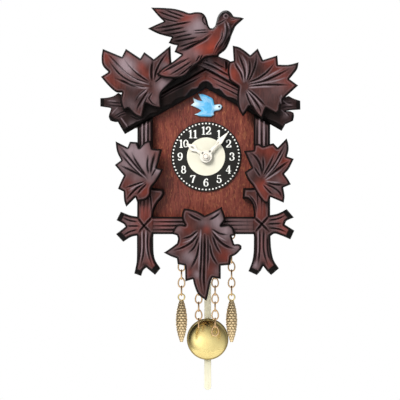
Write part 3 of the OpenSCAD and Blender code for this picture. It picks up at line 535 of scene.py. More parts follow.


# ---------------------------------------------------------------- leaves

# Each leaf's grey spots are painted sheen highlights, and its ridges carry painted highlights.
LEAVES = {
    "top_leaf_left": dict(
        cuts=[([(-36, 46), (-44, 48.5), (-50, 52.3), (-56, 58.5), (-62.3, 65.8)], 0.85, 1.4),
              ([(-39, 44.8), (-47, 47.2), (-53, 51), (-58, 56.5), (-61, 61)], 0.7, 1.0),
              ([(-35.6, 46.8), (-41.5, 50.8), (-46.5, 55.5), (-51.3, 61.3)], 0.7, 1.2),
              ([(-33.6, 47.5), (-33.8, 54), (-32.8, 61)], 0.95, 1.3),
              ([(-32, 48), (-30.5, 54), (-27.5, 60), (-23.5, 65.5)], 0.8, 1.2),
              ([(-31.5, 46.5), (-29, 48.5), (-26.5, 51)], 0.7, 1.0),
              ([(-38, 43.3), (-45, 44.3), (-51.5, 47), (-57.5, 49.5)], 0.9, 1.3),
              ([(-37, 42), (-41.5, 38), (-44.5, 33.5)], 0.7, 1.0),
              ([(-36, 41), (-39.5, 36), (-42.5, 30.5), (-43, 27.5)], 0.75, 1.1),
              ([(-34.5, 40.5), (-37, 36.5), (-38.6, 32)], 0.6, 0.9),
              ([(-33.2, 40), (-35.5, 36.5), (-33.5, 33.5), (-29.5, 31.5)], 0.6, 0.8)],
        grey=[(-49, 56, 5.5, 0.95), (-52, 60, 5, 0.4), (-26, 44.5, 5, 0.8), (-45, 45, 4, 0.35),
              (-47, 33, 5, 0.35), (-36, 62, 4, 0.5), (-31, 35, 4, 0.25), (-25.5, 57, 3, 0.5)],
        red=[(-40.5, 56, 3.2, 0.59), (-37.5, 51, 3, 0.33), (-62, 62, 4, 0.45), (-46, 65, 4, 0.45),
             (-24, 60, 2.6, 0.52), (-62, 49, 4, 0.29), (-58, 45, 5, 0.23)],
        ridges=[[(-35.5, 45.2), (-41, 46.9), (-46, 49.4), (-51, 53), (-57, 58.8), (-61.5, 63)],
                [(-35.5, 42.9), (-40, 43), (-45, 44.9), (-51, 47.6)],
                [(-36.5, 42), (-40.5, 38.6), (-43.5, 35.3)], [(-35, 40), (-38.5, 35), (-41, 30)],
                [(-41.5, 51.7), (-46.8, 56.6), (-51, 62.3)]],
        dark=[(-46, 41, 5.5, 0.5), (-41, 35, 4.5, 0.5), (-50, 34, 4, 0.3), (-34.5, 43, 3, 0.3),
              (-33.5, 55, 2.5, 0.35)],
        swells=[(-34, 45, 3.5, -1.0), (-47, 58, 6, 0.8), (-57, 47, 5, 0.6)]),
    "top_leaf_right": dict(
        cuts=[([(23.8, 47.2), (22.3, 52), (19.2, 57), (17.6, 61)], 0.75, 1.1),
              ([(24.8, 47.5), (24.7, 53), (22.8, 59), (20.3, 65.3)], 0.75, 1.2),
              ([(26, 47.5), (27.5, 52), (27.9, 57), (27.2, 62)], 0.75, 1.1),
              ([(26.8, 46.8), (29.5, 52), (31.5, 58), (32.3, 64)], 0.7, 1.1),
              ([(27, 46.3), (33, 48.7), (38.5, 52.6), (43.5, 58.5)], 0.75, 1.2),
              ([(27.5, 45.3), (36, 46.9), (45, 50.8), (53.5, 55.2)], 0.85, 1.3),
              ([(27.8, 43.8), (37, 44.8), (46, 44.8), (54, 44.5)], 0.8, 1.2),
              ([(26.6, 41.8), (31.5, 37.8), (36, 33.2), (38.6, 30.6)], 0.75, 1.1),
              ([(26, 41), (30.2, 36), (34, 30), (35.4, 25.5)], 0.75, 1.2),
              ([(25.4, 40.5), (27.5, 34.5), (30.5, 29)], 0.65, 0.9),
              ([(46.6, 38), (48.4, 34), (48.5, 29.5)], 0.6, 0.8)],
        grey=[(24, 36, 5, 0.14), (41, 38, 8, 0.12), (33, 62, 4, 0.14), (47, 44, 5, 0.16),
              (53, 56, 4, 0.12), (24.5, 55, 3, 0.1)],
        red=[(17.5, 52, 4, 0.6), (18.5, 46.5, 3, 0.42), (42, 60.5, 5, 0.45), (51, 47, 5, 0.33),
             (56, 45, 4, 0.27), (46, 53, 5, 0.24)],
        dark=[(31.5, 55, 4, 0.6), (21, 64.5, 4, 0.4), (27.5, 60, 3, 0.35), (42, 33, 6, 0.35),
              (50, 36, 4, 0.3), (36, 44, 6, 0.15), (28, 29, 3, 0.25)],
        ridges=[[(24.2, 46.5), (23.4, 52), (20.6, 57), (18.6, 60)],
                [(25.4, 47), (26, 53), (25.2, 59), (22, 64.5)],
                [(27.6, 45.9), (34.5, 47.6), (42, 51.6), (49.5, 55.8)],
                [(27.6, 44.5), (36, 45.9), (45, 47.6), (52, 50)],
                [(27.2, 43), (36, 43.6), (45, 43.6)],
                [(26.4, 41.4), (31, 36.8), (35.4, 31.6), (37.4, 29.4)],
                [(25.8, 40.8), (29.4, 34.8), (32.8, 28)], [(47.5, 38.5), (47.2, 34), (49.5, 31)]],
        swells=[(25, 44.5, 3.5, -1.0), (40, 38, 7, 0.6), (36, 57, 5, 0.6)]),
    "middle_leaf_left": dict(
        cuts=[([(-36.3, -14.2), (-43, -6.6), (-49.5, 1.2), (-55, 7.7)], 0.9, 1.4),
              ([(-39.5, -12.4), (-46, -6.5), (-50.5, -1.6), (-54.3, 3)], 0.7, 1.0),
              ([(-38, -13.6), (-43.5, -10.4), (-49.3, -7.6), (-54, -5.6)], 0.85, 1.2),
              ([(-37.2, -12.4), (-40.6, -7.5), (-43.9, -2.3), (-46.2, 2.8)], 0.9, 1.3),
              ([(-35.6, -11), (-36.4, -5.5), (-35.8, 1.3)], 0.85, 1.2),
              ([(-34.4, -11), (-33.4, -4.8), (-31.2, 3)], 1.05, 1.3),
              ([(-33.6, -12.3), (-32.2, -9.6), (-30.6, -7.2)], 0.7, 0.9),
              ([(-38.5, -15.8), (-44, -17.7), (-50.5, -19.8)], 0.7, 1.0),
              ([(-37.8, -16.6), (-42.8, -19.8), (-47, -24), (-50.3, -28)], 0.8, 1.2),
              ([(-37, -17.4), (-40.3, -20.6), (-43.3, -24.3)], 0.8, 1.1)],
        grey=[(-42, 3, 8, 0.72), (-51, -6, 5, 0.51), (-29.5, -8.5, 4, 0.77), (-38, -6, 6, 0.51),
              (-50, 4, 5, 0.42), (-34.5, -14.5, 3, 0.34), (-43, -14, 4, 0.26)],
        red=[(-37, -21.5, 4.5, 0.51), (-46, -24, 4, 0.24), (-48, -17, 5, 0.18),
             (-37, 3, 5, 0.21), (-30, 0, 3, 0.18)],
        ridges=[[(-36, -14.6), (-43.3, -8), (-49.5, -0.8), (-54, 5.2)],
                [(-38.3, -16.6), (-43.5, -18.7), (-48.8, -22)]],
        swells=[(-35.5, -15, 3, -0.8), (-42, 2, 6, 0.7), (-50, -12, 5, 0.5)]),
    "middle_leaf_right": dict(
        cuts=[([(36.8, -13.3), (41.6, -7.3), (45.6, -0.8), (50.3, 8.6)], 0.85, 1.3),
              ([(38.2, -12.6), (43.6, -7), (47, -1.6), (49.6, 3.6)], 0.7, 1.0),
              ([(36.4, -12), (39.2, -7), (41.8, -1.8), (43.6, 2.8)], 0.75, 1.1),
              ([(38.3, -13.8), (43.4, -9.6), (49, -5.4), (53, -2.8)], 0.95, 1.3),
              ([(35.6, -11.4), (34.6, -6), (31.6, -0.6), (27, 3.2)], 0.85, 1.2),
              ([(35.9, -10.6), (36.4, -5), (35.8, 0.6)], 0.7, 1.0),
              ([(34.4, -12.6), (32, -9), (30.2, -6.2)], 0.65, 0.9),
              ([(38.2, -16.4), (43.2, -17.6), (50.3, -18)], 0.8, 1.1),
              ([(37.4, -17), (42.3, -19.4), (46.6, -22.8), (48.4, -27.5)], 0.8, 1.2),
              ([(36.4, -17.9), (39.6, -21.6), (43, -24.6)], 0.65, 0.9)],
        grey=[(46, -16, 4, 0.22), (28.5, -2, 4, 0.19), (28, -10, 3, 0.15), (44, -20.5, 3, 0.34),
              (50, 5, 3, 0.22)],
        red=[(36, -19, 4.5, 0.66), (41.5, 2.5, 4.5, 0.49), (52.5, -3, 4, 0.63),
             (49.5, -14, 4.5, 0.42), (46, -4, 4, 0.35), (38.5, -26.5, 3.5, 0.49),
             (34, 4, 4, 0.24), (47, -25, 3.5, 0.35)],
        dark=[(31, -12, 3, 0.3), (43, -7, 9, 0.25), (33, -2, 5, 0.25), (44, -20, 6, 0.2)],
        ridges=[[(37, -13.4), (42.6, -7), (46.4, -1), (49.6, 5.5)],
                [(37.6, -14.9), (43, -11.4), (49, -7.5)], [(38, -15.7), (43, -16.2), (48, -16.4)]],
        swells=[(35.5, -15, 3, -0.8), (42, 0, 6, 0.6), (47, -12, 5, 0.5)]),
    "bottom_leaf": dict(
        cuts=[([(-2.6, -40.2), (-7, -38.2), (-11.3, -35.4)], 0.85, 1.1),
              ([(2.6, -39.8), (6.3, -37.8), (9.9, -34.5)], 0.9, 1.1),
              ([(-5, -46.8), (-9.5, -50.2), (-15, -51.8)], 0.75, 1.0),
              ([(-4.6, -48.6), (-8.6, -53.6), (-14, -57), (-21, -59.2)], 0.8, 1.2),
              ([(-4.3, -50.5), (-6.8, -56.6), (-11, -61.3)], 0.75, 1.1),
              ([(-3.6, -54), (-5.6, -63), (-9.8, -71.5)], 0.85, 1.3),
              ([(-2.3, -50), (-2.6, -64), (-3.2, -77), (-2, -86)], 0.8, 1.2),
              ([(-0.4, -49), (-0.6, -64), (-0.9, -77), (0, -88)], 0.95, 1.4),
              ([(1.6, -50), (1.7, -61), (1.2, -72)], 0.7, 1.0),
              ([(2.4, -54), (4.2, -62), (8.4, -69.3)], 0.75, 1.1),
              ([(4, -45.6), (9, -48.3), (14.6, -49.4)], 0.8, 1.1),
              ([(4.4, -47.2), (8.2, -52.4), (13.4, -56.4), (19.8, -58.4)], 0.9, 1.3),
              ([(4.6, -50), (7, -56.6), (10, -61.5)], 0.75, 1.0)],
        grey=[(7.5, -41, 4.5, 0.81), (13.5, -47.5, 4.5, 0.72), (19, -57, 4, 0.59),
              (-10, -63, 4.5, 0.64), (-5, -74, 2.6, 0.68), (-2, -41, 3, 0.3),
              (-17, -45.5, 3, 0.3), (6.5, -35, 3, 0.51), (8, -72, 3, 0.3),
              (-22, -60, 3, 0.26)],
        red=[(12, -62, 4.5, 0.48), (-12.5, -45, 4.5, 0.27), (1, -46, 2.6, 0.45),
             (-14, -56, 3.5, 0.3), (-10.5, -73, 2.5, 0.36), (4, -71, 4, 0.21)],
        ridges=[[(-2.9, -46), (-3.5, -58), (-4.4, -75)], [(-4.8, -47.6), (-9, -52), (-15, -54.6)],
                [(4.3, -46.3), (8.6, -50.4), (14.4, -53.6)]],
        swells=[(0, -42, 3.5, -0.9), (-1.5, -68, 4, 0.4), (11, -46, 5, 0.6)]),
}
for name, how in LEAVES.items():
    ring = outline(name, LEAF)
    if name == "bottom_leaf":
        # the notch beside the right lobe is shallower than the CAD's
        notch = (ring[:, 0] > 14.5) & (ring[:, 1] > -53.5) & (ring[:, 1] < -49.6)
        ring[notch] += [1.4, -0.2]
    ring = curve(ring)
    carving(name.replace("leaf", "maple_leaf"), [name], ring, BRANCH, top=LEAF, waves=0.22,
            **how)


# ---------------------------------------------------------------- branches and boards

def bark(lines, width=0.72, deep=1.0):
    return [(line, width, deep) for line in lines]


# On the branches and the bottom log the grey spots are painted sheen; the branches' ridges carry
# painted highlights.
ring = curve(outline("branch_left", BRANCH), corner=50)
carving("carved_branch_left", ["branch_left"], ring, FRONT, top=BRANCH, rim=(1.7, 2.0),
        dome=(1.0, 2.2), waves=0.12, ink=1.7, seams=[((-33, -49), (-33, -37.6))],
        cuts=bark([[(-41.2, 24), (-40.9, -6), (-41.2, -39)], [(-38.7, 24), (-38.8, -40)],
                   [(-36, 26), (-36.3, -10), (-36.5, -39)],
                   [(-41.2, -48), (-41.4, -62), (-43.2, -70.5)],
                   [(-38.8, -46), (-39, -60), (-41, -70)],
                   [(-36.4, -46), (-36.2, -60), (-33.2, -69.5)],
                   [(-34.6, -49), (-34.4, -60), (-31.4, -68)],
                   [(-43, -41), (-47.5, -40.3), (-53, -38)], [(-42, -43.7), (-50, -43.7)],
                   [(-43, -46), (-47.5, -47.2), (-52.5, -50)]])
        + [([(-43.2, -37.8), (-38.8, -43.5), (-33.4, -48.8)], 0.9, 1.3),
           ([(-33.2, -37.6), (-38.4, -43.2), (-43.2, -49.4)], 0.9, 1.3),
           ([(-35.5, -22), (-34.3, -29), (-34.2, -37)], 0.6, 0.8)],
        ends=[((-45, -73.5), (-40.8, -75), 3.5), ((-32, -74.3), (-28.7, -70.3), 3.9),
              ((-56.5, -48.7), (-52, -53.5), 3.5), ((-56.2, -40), (-53.5, -34.7), 3.3)],
        ridges=[[(-39.9, 25), (-39.8, 12), (-39.9, 2)], [(-37.4, 25), (-37.4, 12), (-37.5, 2)],
                [(-40, -46), (-40.2, -60), (-41.8, -68)],
                [(-37.5, -46), (-37.4, -58), (-35.6, -66)]],
        grey=[(-38, -58, 9, 0.24), (-48, -42, 6, 0.3), (-40, 15, 5, 0.35)],
        red=[(-37.5, -35, 7, 0.55), (-33.5, -66, 4, 0.5), (-38, -55, 6, 0.3),
             (-45, -45, 5, 0.35)], dark=[(-38, -68.5, 1.8, 0.9)])

ring = curve(outline("branch_right", BRANCH), corner=50)
carving("carved_branch_right", ["branch_right"], ring, FRONT, top=BRANCH, rim=(1.7, 2.0),
        dome=(1.0, 2.2), waves=0.12, ink=1.7, seams=[((30, -49), (30, -37.6))],
        cuts=bark([[(38, 24), (38, -5), (38.4, -38)], [(35.2, 24), (35.2, -39)],
                   [(32.4, 26), (32.2, -10), (33, -38)],
                   [(31.8, -48), (31.6, -62), (29.6, -70)],
                   [(34, -46), (33.8, -60), (32.8, -69.5)],
                   [(36.5, -45.5), (36.6, -60), (39.6, -70)],
                   [(38.7, -49), (39.3, -61), (42.3, -69)],
                   [(40, -40), (45, -39.2), (50.6, -36.6)], [(39, -42.4), (48.5, -42)],
                   [(40, -44.8), (46, -45.6), (51.6, -47.9)]])
        + [([(30.2, -38), (35.2, -42.5), (40.6, -48)], 0.9, 1.3),
           ([(40, -37.2), (35.4, -42.3), (30.2, -48.8)], 0.9, 1.3),
           ([(27.5, -24.5), (31, -29.5), (32, -36.5)], 0.6, 0.8)],
        ends=[((26.7, -72), (32, -74.4), 3.3), ((41, -74.4), (45.8, -70.3), 3.9),
              ((53, -52), (55.5, -46.5), 3.7), ((55.2, -38.3), (50.7, -33), 3.3)],
        ridges=[[(36.6, 25), (36.6, 12), (36.7, 2)], [(33.8, 25), (33.7, 12), (33.8, 2)],
                [(32.9, -46), (32.7, -60), (31.4, -67)]],
        grey=[(36, -58, 9, 0.2), (31, -68, 3, 0.6), (44, -40, 5, 0.2), (34, 17, 5, 0.35)],
        red=[(33, -34, 6, 0.5), (49, -47, 4, 0.8), (40, -67, 4, 0.4), (34, -56, 6, 0.4),
             (47, -39.5, 4, 0.5)], dark=[(36, -67.5, 1.8, 0.9)])

ring = curve(outline("bottom_log", BRANCH), corner=50)
carving("carved_bottom_log", ["bottom_log"], ring, FRONT, top=BRANCH, rim=(1.5, 1.8),
        dome=(1.2, 2.4), waves=0.12, ink=1.6,
        seams=[((-33, -49), (-33, -37.6)), ((30, -49), (30, -37.6))],
        cuts=bark([[(-36, -41), (-10, -41.1), (34, -40.8)], [(-36, -43.6), (0, -43.5), (34, -43)],
                   [(-36, -46.1), (0, -46), (34, -45.6)]], 0.7, 0.9),
        grey=[(20, -42, 9, 0.3), (-25, -46, 6, 0.2)], red=[(-26, -41.5, 6, 0.6)])

SCALLOP = np.array([(0, 4.3), (2, 5.0), (4, 4.5), (5, 3.1), (6.5, 3.2), (8.5, 4.2), (10, 3.9),
                    (12, 2.6), (13.5, 2.2), (15, 2.7), (17, 3.4), (19, 3.6), (22, 2.4),
                    (25, 3.3), (28, 3.7), (31, 2.4), (35, 3.6), (39, 2.4), (44, 3.4), (60, 3.0)])


def roof_front(name, black_from, cuts, ends, grey, red, ridges):
    """A roof front board: a black, scalloped lower edge under a carved upper face that turns black
    away from the middle. A pale painted highlight runs along the scallops' upper edge, and the
    grey spots are painted sheen."""
    def field(xz, edge):
        across = np.abs(xz[:, 0])
        low = 43 - 0.5658 * across
        above = xz[:, 1] - low - np.interp(across, SCALLOP[:, 0], SCALLOP[:, 1])
        in_board = xz[:, 1] > low - 1.5
        depth, tint = relief(xz, edge, BRANCH, cuts, rim=(1.2, 1.2), dome=(0.7, 2.0), ends=ends,
                             grey=grey, red=red, waves=0.1, ridges=ridges, ink=1.0)
        step = np.clip(0.5 - above / 0.5, 0, 1) * in_board
        depth = depth - step * (1.6 + 1.6 * np.clip(-above / 4.0, 0, 1))
        # the face turns black outwards from the given distance from the middle
        ink = np.where(across < 47, np.clip((across - black_from) / 7, 0, 0.93), 0.82)
        tint[:, 0] = np.maximum.reduce([tint[:, 0], step, ink * (1 - 0.6 * tint[:, 1])])
        # painted highlight: a pale line along the top of the scallops
        tint[:, 1] += 0.35 * np.exp(-((above - 0.5) / 0.4) ** 2) * in_board
        return depth, tint
    ring = outline(name, BRANCH)
    slit = (ring[:, 0] > -52) & (ring[:, 0] < -49) & (ring[:, 1] > 26) & (ring[:, 1] < 27.5)
    carve("carved_" + name, [name], curve(ring[~slit], corner=45), FRONT, field,
          seams=[((0, 42), (0, 56))])


roof_front("roof_front_right", 24,
           bark([[(6, 45.6), (13, 42.3), (20, 38.6), (30, 33)],
                 [(2, 50.5), (12, 45.6), (24, 39.4), (38, 31)],
                 [(48, 29), (52, 26), (53.5, 23.5)], [(49.5, 27.5), (51, 25)],
                 [(47, 33.5), (56, 33.5)], [(48, 31), (56, 31.2)],
                 [(30, 24.5), (38, 20.5), (46, 17)]], 0.6, 0.8),
           [((59.2, 35), (59.3, 29.5), 2.6), ((55.3, 25.5), (54.7, 22.5), 1.6)],
           [(10, 46, 6, 0.2), (51, 33, 4, 0.5), (50, 26, 3, 0.5), (44, 19.5, 2.4, 0.4)],
           [(6, 48, 7, 0.35), (15, 43, 5, 0.3)],
           [[(27, 26.6), (36, 21.8), (45, 17)], [(47, 36.5), (52, 32.5), (56, 32.2)],
            [(47, 29.6), (50.5, 26.5), (52.6, 24)]])
roof_front("roof_front_left", 8,
           bark([[(-2, 50.5), (-12, 45.6), (-24, 39.4), (-38, 31)],
                 [(-47, 33.2), (-56, 33.6), (-63.5, 34.2)],
                 [(-50, 31.3), (-56, 31.6), (-63.5, 32.6)],
                 [(-50, 29), (-55, 26.5), (-58.5, 24)], [(-50, 27), (-54, 25.5), (-57, 23.2)],
                 [(-47.5, 25.5), (-43, 23.4), (-40, 22.4)]], 0.6, 0.8),
           [((-66.3, 36.7), (-66.3, 31.5), 2.8), ((-61, 25), (-57, 21.7), 1.8),
            ((-56, 21.6), (-51.5, 14.6), 2.2)],
           [(-58, 33.4, 4, 0.6), (-55, 27, 3, 0.55), (-46, 20.5, 3, 0.6), (-41, 22.5, 2.5, 0.4)],
           [(-3, 49, 5, 0.35)],
           [[(-56, 34.6), (-60, 35), (-62.8, 35)], [(-55, 31), (-57.5, 28.5), (-59.5, 25.8)],
            [(-53.5, 24.6), (-51, 21.3), (-49.4, 18.9), (-48.9, 17)],
            [(-47.5, 17.8), (-41, 21.6), (-33, 25.8)]])

# The crest log's grey spots are painted sheen and its ridges carry painted highlights.
ring = outline("crest_log", BRANCH)
ring[ring[:, 0] < -26.9] -= [1.5, 0.849]
ring = curve(ring, corner=45)
carving("carved_crest_log", ["crest_log"], ring, FRONT, top=BRANCH, rim=(1.0, 1.2),
        dome=(0.8, 2.2), waves=0.15, ink=1.0,
        ridges=[[(-4, 57.6), (3, 54.4), (11, 50.1), (20, 45)], [(-1, 60), (6, 56.8), (13, 52.6)],
                [(-20, 44.6), (-14, 47.6), (-8, 51)]],
        cuts=[([(-4.5, 57.2), (4, 53.2), (12, 49), (24, 42.5)], 0.8, 1.1),
              ([(-3, 59.5), (5, 56), (13, 51.5), (20, 48)], 0.75, 1.0),
              ([(0, 61), (1.2, 59.6), (2.4, 57.8)], 0.5, 0.7),
              ([(5, 59.5), (8.5, 57.2), (12.6, 55.4)], 0.6, 0.8),
              ([(12.8, 60), (13.2, 56.5), (12.6, 53.5)], 0.9, 1.2)],
        grey=[(1, 58.5, 3.5, 0.6), (6, 55, 3, 0.35), (10, 60.5, 3, 0.3)],
        red=[(10, 53.5, 3.5, 0.95), (16, 51, 4, 1.0), (8, 59, 3, 0.5)],
        dark=[(0, 65, 4, 0.6), (-24, 44, 6, 1.0), (-17, 48.5, 5, 1.0), (-11, 52, 5, 1.0),
              (-5.5, 55.5, 3, 0.8)])


# ---------------------------------------------------------------- bird

BIRD = [(-34, 93.2), (-25, 92.9), (-19, 92.3), (-14, 91), (-10, 89.7), (-6, 90.3), (-2, 89.8),
        (0, 88), (1.2, 85), (2, 82), (3, 80.3), (4.5, 80.2), (6, 81.5), (6.8, 84), (7.6, 87),
        (9, 89.5), (11, 91), (14, 91.3), (16, 90), (17.5, 87.8), (19.5, 87.3), (22, 87),
        (24.2, 86.3), (22, 84.3), (19.5, 82), (18, 80), (16.3, 76), (15, 72), (12.5, 67),
        (8.8, 64), (8, 62.5), (4, 62), (0, 61.3), (-4, 58), (-8, 55.2), (-12, 50.5),
        (-18, 48.7), (-22.5, 48.8), (-27, 49.5), (-30.5, 51.5), (-27, 55), (-20, 59.5),
        (-15, 63.5), (-19.3, 65.3), (-17.5, 69.5), (-20, 70), (-23, 71), (-21, 74.5),
        (-26, 75.7), (-30, 77), (-36, 80), (-30.5, 82.6), (-26, 84.5), (-28, 86.4), (-30, 88.5)]
SPINE = [(-26, 53, 2.2, 65.6), (-14, 59, 3.5, 66.4), (-5, 64, 4.6, 67.6), (2, 68.5, 5.6, 69.4),
         (7, 74, 5.4, 69.8), (10.5, 80, 4.8, 69.5), (12.5, 87, 4.9, 69.6), (18, 85.3, 2.6, 68.0),
         (23, 86.2, 1.0, 66.8)]
BIRD_CUTS = [
    ([(-13, 87.2), (-20, 89.6), (-27, 92.2)], 0.7, 0.9),
    ([(-15, 85.6), (-23, 88.2), (-31.5, 91.4)], 0.7, 0.9),
    ([(-17, 84), (-24, 85.6), (-29.5, 88)], 0.6, 0.8),
    ([(-9, 84), (-18, 82.4), (-25, 80.9), (-34.2, 79.6)], 0.8, 1.1),
    ([(-13, 80.6), (-20, 79.3), (-30.5, 77.4)], 0.75, 1.0),
    ([(-11, 78.4), (-18, 77), (-26, 75.8)], 0.7, 0.9),
    ([(-8, 76.4), (-15, 75), (-21.3, 73.2)], 0.75, 1.0),
    ([(-5, 74.4), (-13, 72.8), (-22, 71.1)], 0.8, 1.1),
    ([(-4, 72.4), (-11, 70), (-18.6, 67.6)], 0.75, 1.0),
    ([(3.4, 76), (0, 73.4), (-6, 70.2), (-12.5, 66.8), (-18.2, 65.2)], 1.15, 1.7),
    ([(-7, 78.6), (-2, 78.9), (2.4, 79)], 0.5, 0.6),
    ([(-7, 77), (-2, 77.3), (2.8, 77.6)], 0.5, 0.6),
    ([(0, 88.4), (-1.5, 86), (-0.6, 83.2), (2, 81)], 0.6, 0.9),
    ([(-10, 61.4), (-18, 57.2), (-27.6, 52)], 0.7, 0.9),
    ([(-8.6, 59.4), (-15, 55.2), (-23, 50.3)], 0.7, 0.9),
    ([(-7.6, 57.4), (-12.5, 53.4), (-17.5, 49.7)], 0.65, 0.9),
    ([(-13, 60.8), (-20, 57), (-28.6, 51.2)], 0.5, 0.6),
    ([(12.8, 84), (13.8, 79.5), (12.6, 74), (9.4, 68.6), (6.4, 64.2)], 1.1, 1.3),
    ([(14.6, 81), (15, 76), (12.8, 71), (10, 66.4)], 0.7, 0.8),
    ([(10.8, 79), (10.6, 74.6), (7.6, 69.4), (5.2, 64)], 0.55, 0.6),
    ([(7.2, 82.2), (11, 84.2), (13.4, 86.1)], 0.55, 0.6),
    ([(16, 85.4), (19, 85.8), (23, 86.2)], 0.35, 0.5),
    ([(-3.4, 63), (-4.6, 61), (-5.8, 58.8)], 0.6, 0.8),
    ([(-1.6, 63.4), (-2.6, 61.6), (-3.6, 60)], 0.6, 0.8),
]


def bird_field(xz, edge):
    # The bird's grey spots are painted sheen.
    depth, tint = relief(
        xz, edge, 67.0, BIRD_CUTS, rim=(1.2, 1.3), dome=(1.3, 2.6), waves=0.1,
        grey=[(-4, 81.5, 5.5, 0.85), (-11, 77, 5, 0.45), (-12, 68, 5, 0.3), (-15, 60, 5, 0.3),
              (-5, 64, 3.5, 0.3), (-22, 54, 4, 0.25), (-26, 82, 5, 0.25), (11.5, 89, 2.5, 0.25),
              (-21, 91, 4, 0.2), (12, 76, 1.6, 0.5)],
        red=[(-4, 67.5, 4.5, 0.75), (4.5, 66.5, 4.2, 1.1), (6, 73, 4, 0.55), (9, 79, 3, 0.3),
             (-9, 87, 4.5, 0.55), (19, 84.6, 2.6, 0.6), (-31, 91, 3.5, 0.6),
             (-14, 84.5, 4, 0.3), (-25, 53, 4, 0.5), (-1, 62, 3, 0.4), (-15, 60, 5, 0.4)],
        dark=[(11.5, 65.5, 3.0, 0.95), (14.8, 72.5, 2.6, 0.9), (16, 79, 2.3, 0.85),
              (-17, 71, 4, 0.6), (10.2, 89.6, 3.0, 1.2), (15.8, 89.5, 2.3, 1.1),
              (12.8, 91, 2.2, 1.0), (8.2, 86, 1.8, 0.6), (9, 82.5, 1.8, 0.4), (21, 86.9, 1.8, 0.6),
              (-12, 73.5, 4.5, 0.4), (-22, 76, 5, 0.5), (-25, 82, 5, 0.4), (-27, 90, 4.5, 0.3),
              (-20, 63.5, 3, 0.4), (-13, 52, 3.5, 0.35), (-1, 88, 2.2, 0.5)],
        ridges=[[(12.4, 83.4), (12.9, 78.5), (11.4, 73), (7.6, 67.5)],
                [(14.2, 83.6), (15.4, 79), (14.6, 74.5)]])
    stations = np.array(SPINE)
    line = curve(stations[:, :2], 0.6, 80, closed=False)
    d, t = distance(xz, line)
    at = distance(stations[:, :2], line)[1]
    r = np.interp(t, at, stations[:, 2])
    top = np.interp(t, at, stations[:, 3])
    swell = np.sqrt(np.clip(1 - (d / (r * 1.15)) ** 2, 0, 1))
    depth += np.maximum(top - 66, 0) * swell * np.clip(edge / 1.4, 0, 1)
    eye = np.hypot(xz[:, 0] - 13, xz[:, 1] - 87.6)
    depth += 0.45 * np.clip(1 - (eye / 0.95) ** 2, 0, 1) - 0.4 * np.exp(-((eye - 1.35) / 0.3) ** 2)
    tint[:, 0] = np.where(eye < 0.8, 0.95, tint[:, 0])
    socket = np.exp(-((eye - 1.25) / 0.35) ** 2)
    # painted highlight: a pale ring round the eye stands in for its glints
    tint[:, 1] += 0.5 * socket
    tint[:, 0] *= 1 - socket
    return np.minimum(depth, 69.95), tint


carve("carved_songbird", ["carved_bird"], curve(BIRD, 0.45, 42), LEAF, bird_field, 0.36)
carving("carved_songbird_back", ["carved_bird"], curve(outline("carved_bird", BRANCH), corner=45),
        BRANCH, top=LEAF + 0.8, cuts=[], rim=(0.6, 0.6), dome=(0.2, 2.0), pitch=1.0)

BLUE = curve(outline("blue_bird", FRONT + 2), 0.3, 48)


def blue_field(xz, edge):
    depth, tint = relief(
        xz, edge, FRONT + 2, [([(0.4, 34.4), (-2.4, 36.3), (-4.4, 38.6)], 0.3, 0.25),
                              ([(2.4, 34), (0.6, 36), (-1, 38)], 0.3, 0.25),
                              ([(-1, 32.4), (-4, 32.6), (-7.6, 33.2)], 0.3, 0.25),
                              ([(0.6, 28.4), (-2, 27.2), (-5, 26.7)], 0.3, 0.25),
                              ([(4.8, 32.2), (4.4, 30.6), (4.9, 29)], 0.3, 0.2)],
        rim=(0.7, 0.7), dome=(0.5, 1.2),
        grey=[(8, 31.2, 2.0, 1.2), (5.8, 30.6, 1.5, 0.6), (-8.4, 36.4, 2.2, 1.0),
              (-5.2, 39.6, 1.8, 0.9), (-9, 32.5, 2.4, 1.2), (-5.4, 33, 2.2, 0.7),
              (-7, 26.4, 1.8, 1.0), (4.6, 26.4, 1.6, 0.5), (-4.5, 29.4, 1.2, 0.3)])
    eye = np.hypot(xz[:, 0] - 8.3, xz[:, 1] - 31.4)
    tint[:, 0] = np.where(eye < 0.62, 1.0, np.clip(0.9 - edge / 0.22, 0, 1))
    depth += 0.25 * np.clip(1 - (eye / 0.65) ** 2, 0, 1)
    return np.minimum(depth, FRONT + 2), tint


carve("bluebird", ["blue_bird"], BLUE, FRONT, blue_field, 0.2)


# ---------------------------------------------------------------- boards, plates and hands

def soften(name, source, width, smooth_angle=35):
    """A CAD part with its edges broken."""
    bm = bmesh.new()
    bm.from_mesh(NODES[source].data)
    bmesh.ops.remove_doubles(bm, verts=bm.verts, dist=1e-6)
    bmesh.ops.dissolve_limit(bm, angle_limit=math.radians(0.8), verts=bm.verts, edges=bm.edges)
    me = bpy.data.meshes.new(name)
    bm.to_mesh(me)
    bm.free()
    ob = piece(name, me, [source])
    cut = ob.modifiers.new("edges", "BEVEL")
    cut.width = width * 0.001
    cut.segments = 3
    cut.limit_method = "ANGLE"
    cut.angle_limit = math.radians(smooth_angle)
    cut.harden_normals = True
    return ob


for source, name, width in [
        ("front_panel", "front_board", 0.35), ("side_panel_left", "side_board_left", 0.5),
        ("side_panel_right", "side_board_right", 0.5), ("bottom_board", "base_board", 0.5),
        ("back_panel", "back_board", 0.4), ("roof_left", "roof_board_left", 0.8),
        ("roof_right", "roof_board_right", 0.8), ("hanger_rail", "rail_block", 0.5),
        ("hanger_plate", "keyhole_plate", 0.15), ("dial_disc", "dial_plate", 0.25),
        ("pendulum_rod", "flat_rod", 0.2),
        ("winding_key", "wing_key", 0.2)]:
    soften(name, source, width)


# ---------------------------------------------------------------- hands

